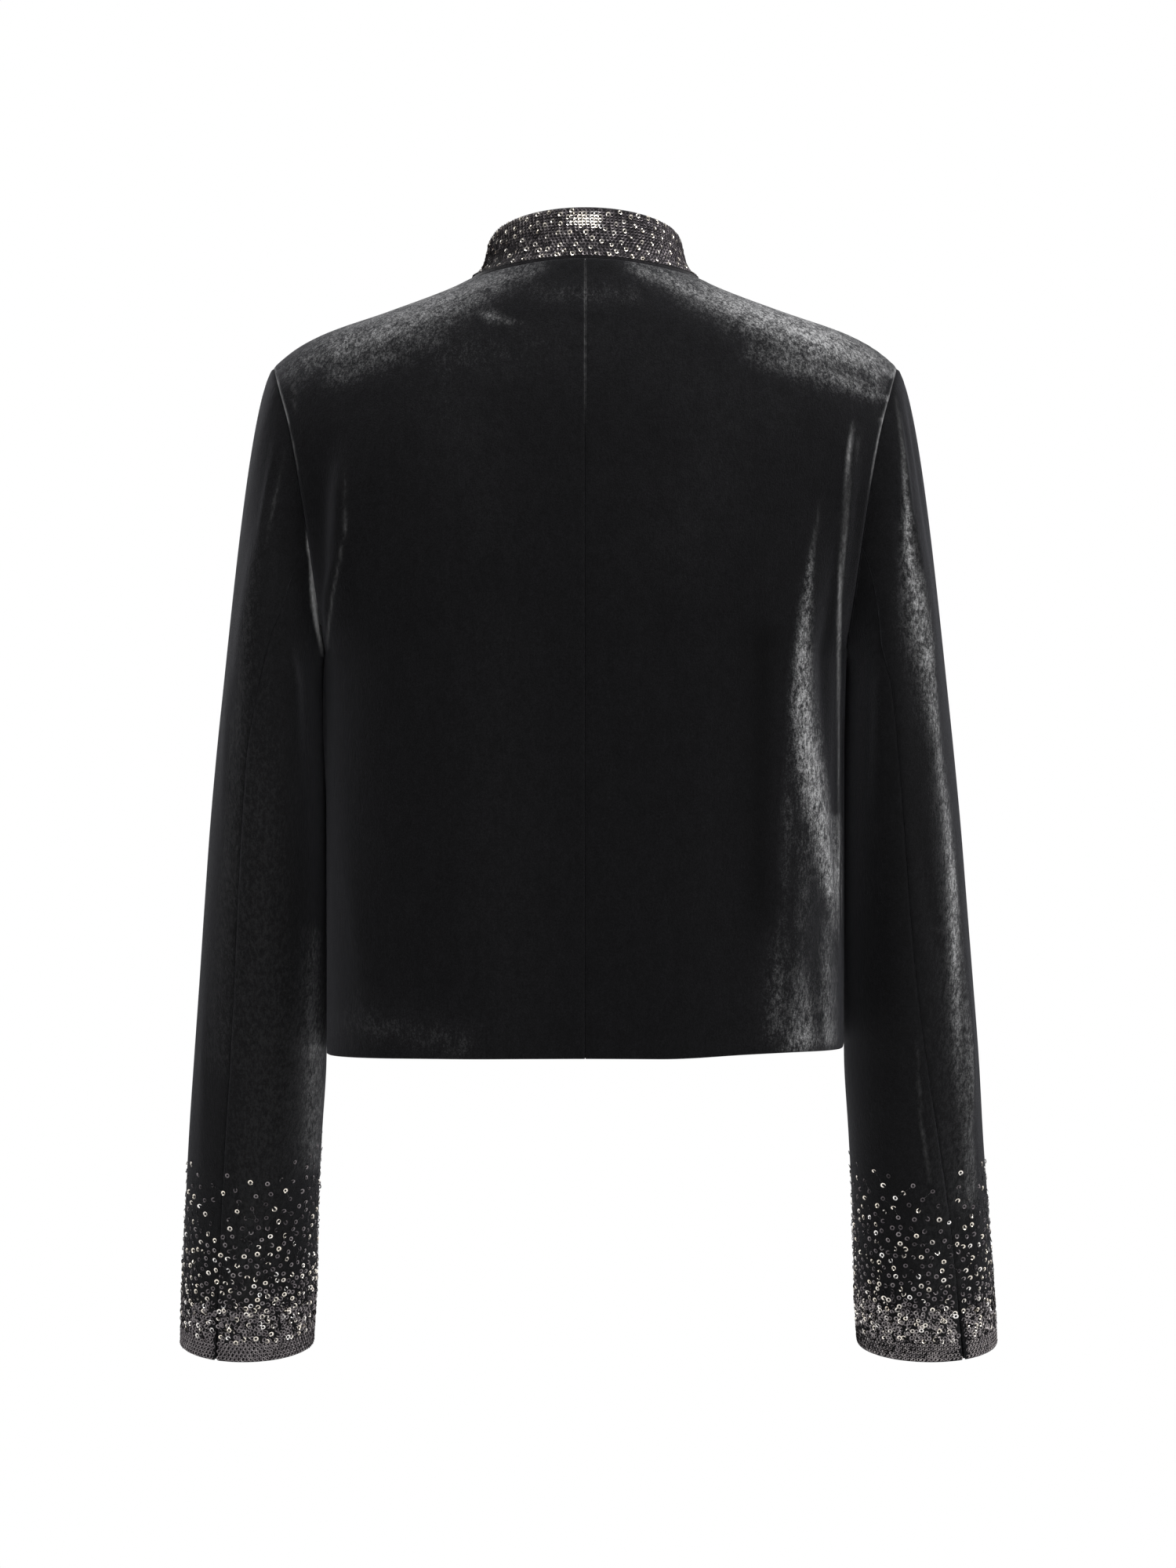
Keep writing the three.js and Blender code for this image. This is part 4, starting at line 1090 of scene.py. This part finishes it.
class Nodes:
    """A short way to write a material's nodes."""

    def __init__(self, name):
        material = bpy.data.materials.new(name)
        material.use_nodes = True
        self.material = material
        self.tree = material.node_tree
        self.shader = self.tree.nodes["Principled BSDF"]
        MATERIALS[name] = material

    def add(self, kind, settings=None, **inputs):
        node = self.tree.nodes.new("ShaderNode" + kind)
        for key, value in (settings or {}).items():
            setattr(node, key, value)
        for key, value in inputs.items():
            self.put(node, key.replace("_", " "), value)
        return node

    def put(self, node, key, value):
        socket = node.inputs[int(key)] if key.isdigit() else node.inputs[key]
        if isinstance(value, bpy.types.NodeSocket):
            self.tree.links.new(value, socket)
        else:
            socket.default_value = value

    def shade(self, **inputs):
        for key, value in inputs.items():
            self.put(self.shader, key.replace("_", " "), value)

    def place(self):
        return self.add("TexCoord").outputs["Object"]

    def stretched(self, z):
        return self.add("Mapping", Vector=self.place(), Scale=(1, 1, z)).outputs["Vector"]

    def noise(self, vector, scale, detail=3.0, roughness=0.55, distortion=0.0):
        looks = {"Detail": detail, "Roughness": roughness, "Distortion": distortion}
        return self.add("TexNoise", Vector=vector, Scale=scale, **looks).outputs["Fac"]

    def attribute(self, name):
        return self.add("Attribute", {"attribute_name": name}).outputs["Fac"]

    def math(self, operation, a, b=0.0, clamp=False):
        node = self.add("Math", {"operation": operation, "use_clamp": clamp})
        self.put(node, "0", a)
        self.put(node, "1", b)
        return node.outputs[0]

    def scaled(self, value, factor, offset):
        node = self.add("Math", {"operation": "MULTIPLY_ADD"})
        self.put(node, "0", value)
        self.put(node, "1", factor)
        self.put(node, "2", offset)
        return node.outputs[0]

    def spread(self, value, low, high, to_low=0.0, to_high=1.0):
        node = self.add("MapRange", {"interpolation_type": "SMOOTHSTEP"}, Value=value)
        for key, number in (("From Min", low), ("From Max", high), ("To Min", to_low), ("To Max", to_high)):
            node.inputs[key].default_value = number
        return node.outputs[0]

    def ramp(self, value, stops):
        node = self.add("ValToRGB", Fac=value)
        ramp = node.color_ramp
        while len(ramp.elements) > 1:
            ramp.elements.remove(ramp.elements[-1])
        for i, (position, colour) in enumerate(stops):
            element = ramp.elements[0] if i == 0 else ramp.elements.new(position)
            element.position = position
            element.color = (*colour, 1)
        return node.outputs["Color"]

    def bump(self, height, distance, strength, normal=None):
        node = self.add("Bump", Height=height, Distance=distance, Strength=strength)
        if normal is not None:
            self.put(node, "Normal", normal)
        return node.outputs["Normal"]


def grey(value):
    return (value, value, value)


def velvet_material():
    """Nearly black pile with streaky patches of painted sheen, mottled like crushed pile, and painted
    shade.
    """
    nodes = Nodes("velvet")
    streaks = nodes.noise(nodes.stretched(0.45), 520, detail=6, roughness=0.8, distortion=0.1)
    blotches = nodes.noise(nodes.stretched(0.6), 110, detail=8, roughness=0.8)
    grain = nodes.noise(nodes.stretched(0.8), 1100, detail=3, roughness=0.8)
    # Attributes: painted sheen, with painted shade below 0, and even painted highlights along seams and
    # drapes
    painted_sheen_and_shade, seam = nodes.attribute("painted_sheen_and_shade"), nodes.attribute("seam")
    lit = nodes.math("MAXIMUM", painted_sheen_and_shade, 0.0)
    streaky = nodes.spread(streaks, 0.38, 0.62)
    patchy = nodes.spread(blotches, 0.36, 0.64)
    pile = nodes.spread(grain, 0.36, 0.64)
    mix = nodes.math("ADD", nodes.scaled(streaky, 0.54, 0.09), nodes.scaled(patchy, 0.3, 0.03))
    mottled = nodes.math("MULTIPLY", nodes.math("MULTIPLY", lit, mix), nodes.scaled(pile, 0.7, 0.72))
    crisp = nodes.math("MULTIPLY", seam, nodes.scaled(streaky, 0.25, 0.48))
    amount = nodes.math("ADD", mottled, crisp, clamp=True)
    # The ramp turns the painted highlight into colour added to the velvet's own
    stops = [(0, 0), (0.12, 0.003), (0.24, 0.025), (0.42, 0.1), (0.6, 0.2), (0.85, 0.38), (1, 0.48)]
    stops = [(place, grey(value)) for place, value in stops]
    uneven = nodes.math("MULTIPLY", nodes.scaled(patchy, 0.3, 0.8), nodes.scaled(streaky, 0.3, 0.85))
    ground = nodes.math("MULTIPLY", uneven, nodes.scaled(pile, 0.8, 0.6))
    # Painted sheen lifts the ground colour and painted shade darkens it
    lifted = nodes.math("MULTIPLY", ground, nodes.scaled(lit, 2.2, 1.0))
    painted_shade_factor = nodes.spread(painted_sheen_and_shade, -1.0, 0.0, 0.2, 1.0)
    shaded = nodes.math("MULTIPLY", lifted, painted_shade_factor)
    dark = nodes.add("VectorMath", {"operation": "SCALE"})
    dark.inputs[0].default_value = (0.0049, 0.0049, 0.0055)
    nodes.put(dark, "Scale", shaded)
    both = nodes.add("VectorMath", {"operation": "ADD"})
    nodes.put(both, "0", dark.outputs[0])
    nodes.put(both, "1", nodes.ramp(amount, stops))
    nodes.shade(
        Base_Color=both.outputs[0],
        Roughness=0.9,
        Specular_IOR_Level=0.1,
        Sheen_Weight=0.3,
        Sheen_Roughness=0.4,
        Sheen_Tint=(0.42, 0.42, 0.46, 1),
    )
    coarse = nodes.bump(nodes.math("ADD", streaks, blotches), 0.0015, 0.35)
    nodes.shade(Normal=nodes.bump(grain, 0.0005, 0.8, coarse))


def velvet_back_material():
    """The plain woven back of the velvet, which shows only inside."""
    nodes = Nodes("velvet_back")
    looks = {"Scale": 260.0, "Distortion": 0.6}
    warp = nodes.add("TexWave", {"bands_direction": "X"}, Vector=nodes.place(), **looks)
    weft = nodes.add("TexWave", {"bands_direction": "Z"}, Vector=nodes.place(), **looks)
    weave = nodes.math("MULTIPLY", warp.outputs["Fac"], weft.outputs["Fac"])
    soft = nodes.noise(nodes.place(), 60, 3)
    colour = nodes.ramp(nodes.math("MULTIPLY", weave, soft), [(0, grey(0.009)), (1, grey(0.03))])
    nodes.shade(Base_Color=colour, Roughness=0.85, Specular_IOR_Level=0.25)
    nodes.shade(Normal=nodes.bump(weave, 0.0003, 0.5))


def grained_material(name, grain, dark, light, relief, **looks):
    """A plain material whose colour and relief follow a fine grain."""
    nodes = Nodes(name)
    height = nodes.noise(nodes.place(), *grain)
    colour = nodes.ramp(height, [(0.3, dark), (0.8, light)])
    nodes.shade(Base_Color=colour, Normal=nodes.bump(height, relief, 0.5), **looks)


def ground_material():
    """The black cloth under the collar's sequins."""
    looks = {"Roughness": 0.8, "Specular_IOR_Level": 0.2, "Sheen_Weight": 0.4, "Sheen_Roughness": 0.4}
    dark, light = (0.006, 0.0055, 0.0065), (0.02, 0.018, 0.021)
    grained_material("sequin_ground", (900, 3), dark, light, 0.0003, **looks)


def sequin_material():
    nodes = Nodes("sequin")
    dark = [(0.0, (0.06, 0.054, 0.058)), (0.3, (0.17, 0.152, 0.16)), (0.62, (0.3, 0.275, 0.28))]
    # Bright tones are lighter, warmer metal and also a painted glint
    bright = [(0.72, (0.75, 0.7, 0.64)), (0.86, (0.95, 0.87, 0.75)), (1.0, (1.0, 0.98, 0.97))]
    haze = nodes.noise(nodes.place(), 700, 2)
    tone = nodes.attribute("tone")
    shine = nodes.spread(tone, 0.55, 0.75, 0, 0.24)
    roughness = nodes.math("SUBTRACT", nodes.spread(haze, 0.3, 0.7, 0.4, 0.52), shine)
    nodes.shade(Base_Color=nodes.ramp(tone, dark + bright), Metallic=1.0, Roughness=roughness)


def thread_material():
    looks = {"Roughness": 0.5, "Specular_IOR_Level": 0.4}
    grained_material("thread", (2500, 2), grey(0.05), grey(0.2), 0.0002, **looks)


# Setting


def area_light(name, place, aim, size, power):
    data = bpy.data.lights.new(name, "AREA")
    data.shape = "RECTANGLE"
    data.size, data.size_y = size
    data.energy = power
    light = bpy.data.objects.new(name, data)
    light.location = place
    light.rotation_mode = "QUATERNION"
    light.rotation_quaternion = (Vector(aim) - Vector(place)).to_track_quat("-Z", "Y")
    bpy.context.scene.collection.objects.link(light)


# In metres: the camera, and the floor's half width, near edge and level
CAMERA = {"place": (-0.00175, 3.2, -0.324), "lens": 115.2, "sensor": 36}
FLOOR = {"half": 5.0, "front": -3.2, "level": -1.35}
WORLD_LIGHT = {"colour": (0.97, 0.98, 1, 1), "strength": 0.22}


def setting():
    scene = bpy.context.scene
    camera_data = bpy.data.cameras.new("camera")
    camera_data.sensor_width = CAMERA["sensor"]
    camera_data.lens = CAMERA["lens"]
    camera = bpy.data.objects.new("camera", camera_data)
    camera.location = CAMERA["place"]
    camera.rotation_euler = (math.pi / 2, 0, math.pi)
    scene.collection.objects.link(camera)
    scene.camera = camera
    scene.view_settings.view_transform = "Standard"

    world = bpy.data.worlds.new("studio")
    world.use_nodes = True
    tree = world.node_tree
    shown = tree.nodes["Background"]
    shown.inputs["Color"].default_value = (1, 1, 1, 1)
    shown.inputs["Strength"].default_value = 1.0
    lit = tree.nodes.new("ShaderNodeBackground")
    lit.inputs["Color"].default_value = WORLD_LIGHT["colour"]
    lit.inputs["Strength"].default_value = WORLD_LIGHT["strength"]
    path = tree.nodes.new("ShaderNodeLightPath")
    mix = tree.nodes.new("ShaderNodeMixShader")
    for i, output in enumerate((path.outputs["Is Camera Ray"], lit.outputs[0], shown.outputs[0])):
        tree.links.new(output, mix.inputs[i])
    tree.links.new(mix.outputs[0], tree.nodes["World Output"].inputs["Surface"])
    scene.world = world

    area_light("top", (-0.35, 0.5, 1.9), (-0.05, 0, -0.1), (1.4, 1.0), 40)
    area_light("right", (-2.3, 1.3, 0.5), (-0.1, 0, -0.35), (0.9, 1.6), 26)
    area_light("left", (2.4, 1.5, 0.6), (0.1, 0, -0.35), (0.9, 1.6), 13)
    area_light("front", (0.8, -2.4, 0.6), (0, 0, -0.3), (1.6, 1.6), 26)

    mesh = bpy.data.meshes.new("floor")
    half, front, level = FLOOR["half"], FLOOR["front"], FLOOR["level"]
    corners = [(-half, front), (half, front), (half, half), (-half, half)]
    mesh.from_pydata([(x, y, level) for x, y in corners], [], [(0, 1, 2, 3)])
    floor = bpy.data.objects.new("floor", mesh)
    scene.collection.objects.link(floor)
    nodes = Nodes("floor")
    cloudy = nodes.noise(nodes.place(), 3, 2)
    nodes.shade(Base_Color=nodes.ramp(cloudy, [(0.3, grey(0.5)), (0.7, grey(0.54))]), Roughness=0.9)
    nodes.shade(Emission_Color=(1, 1, 1, 1), Emission_Strength=0.5)
    mesh.materials.append(MATERIALS["floor"])


def build():
    setting()
    materials = (velvet_material, velvet_back_material, ground_material, sequin_material, thread_material)
    for make in materials:
        make()
    for word, side in (("left", 1), ("right", -1)):
        body_panel("back_" + word, True, side)
        body_panel("front_" + word, False, side)
        upper = sleeve_panel("upper_sleeve_" + word, True, side)
        under = sleeve_panel("under_sleeve_" + word, False, side)
        sequins, threads = cuff_sequins("cuff_sequins_" + word, side)
    collar_band()
    collar_sequins()


build()
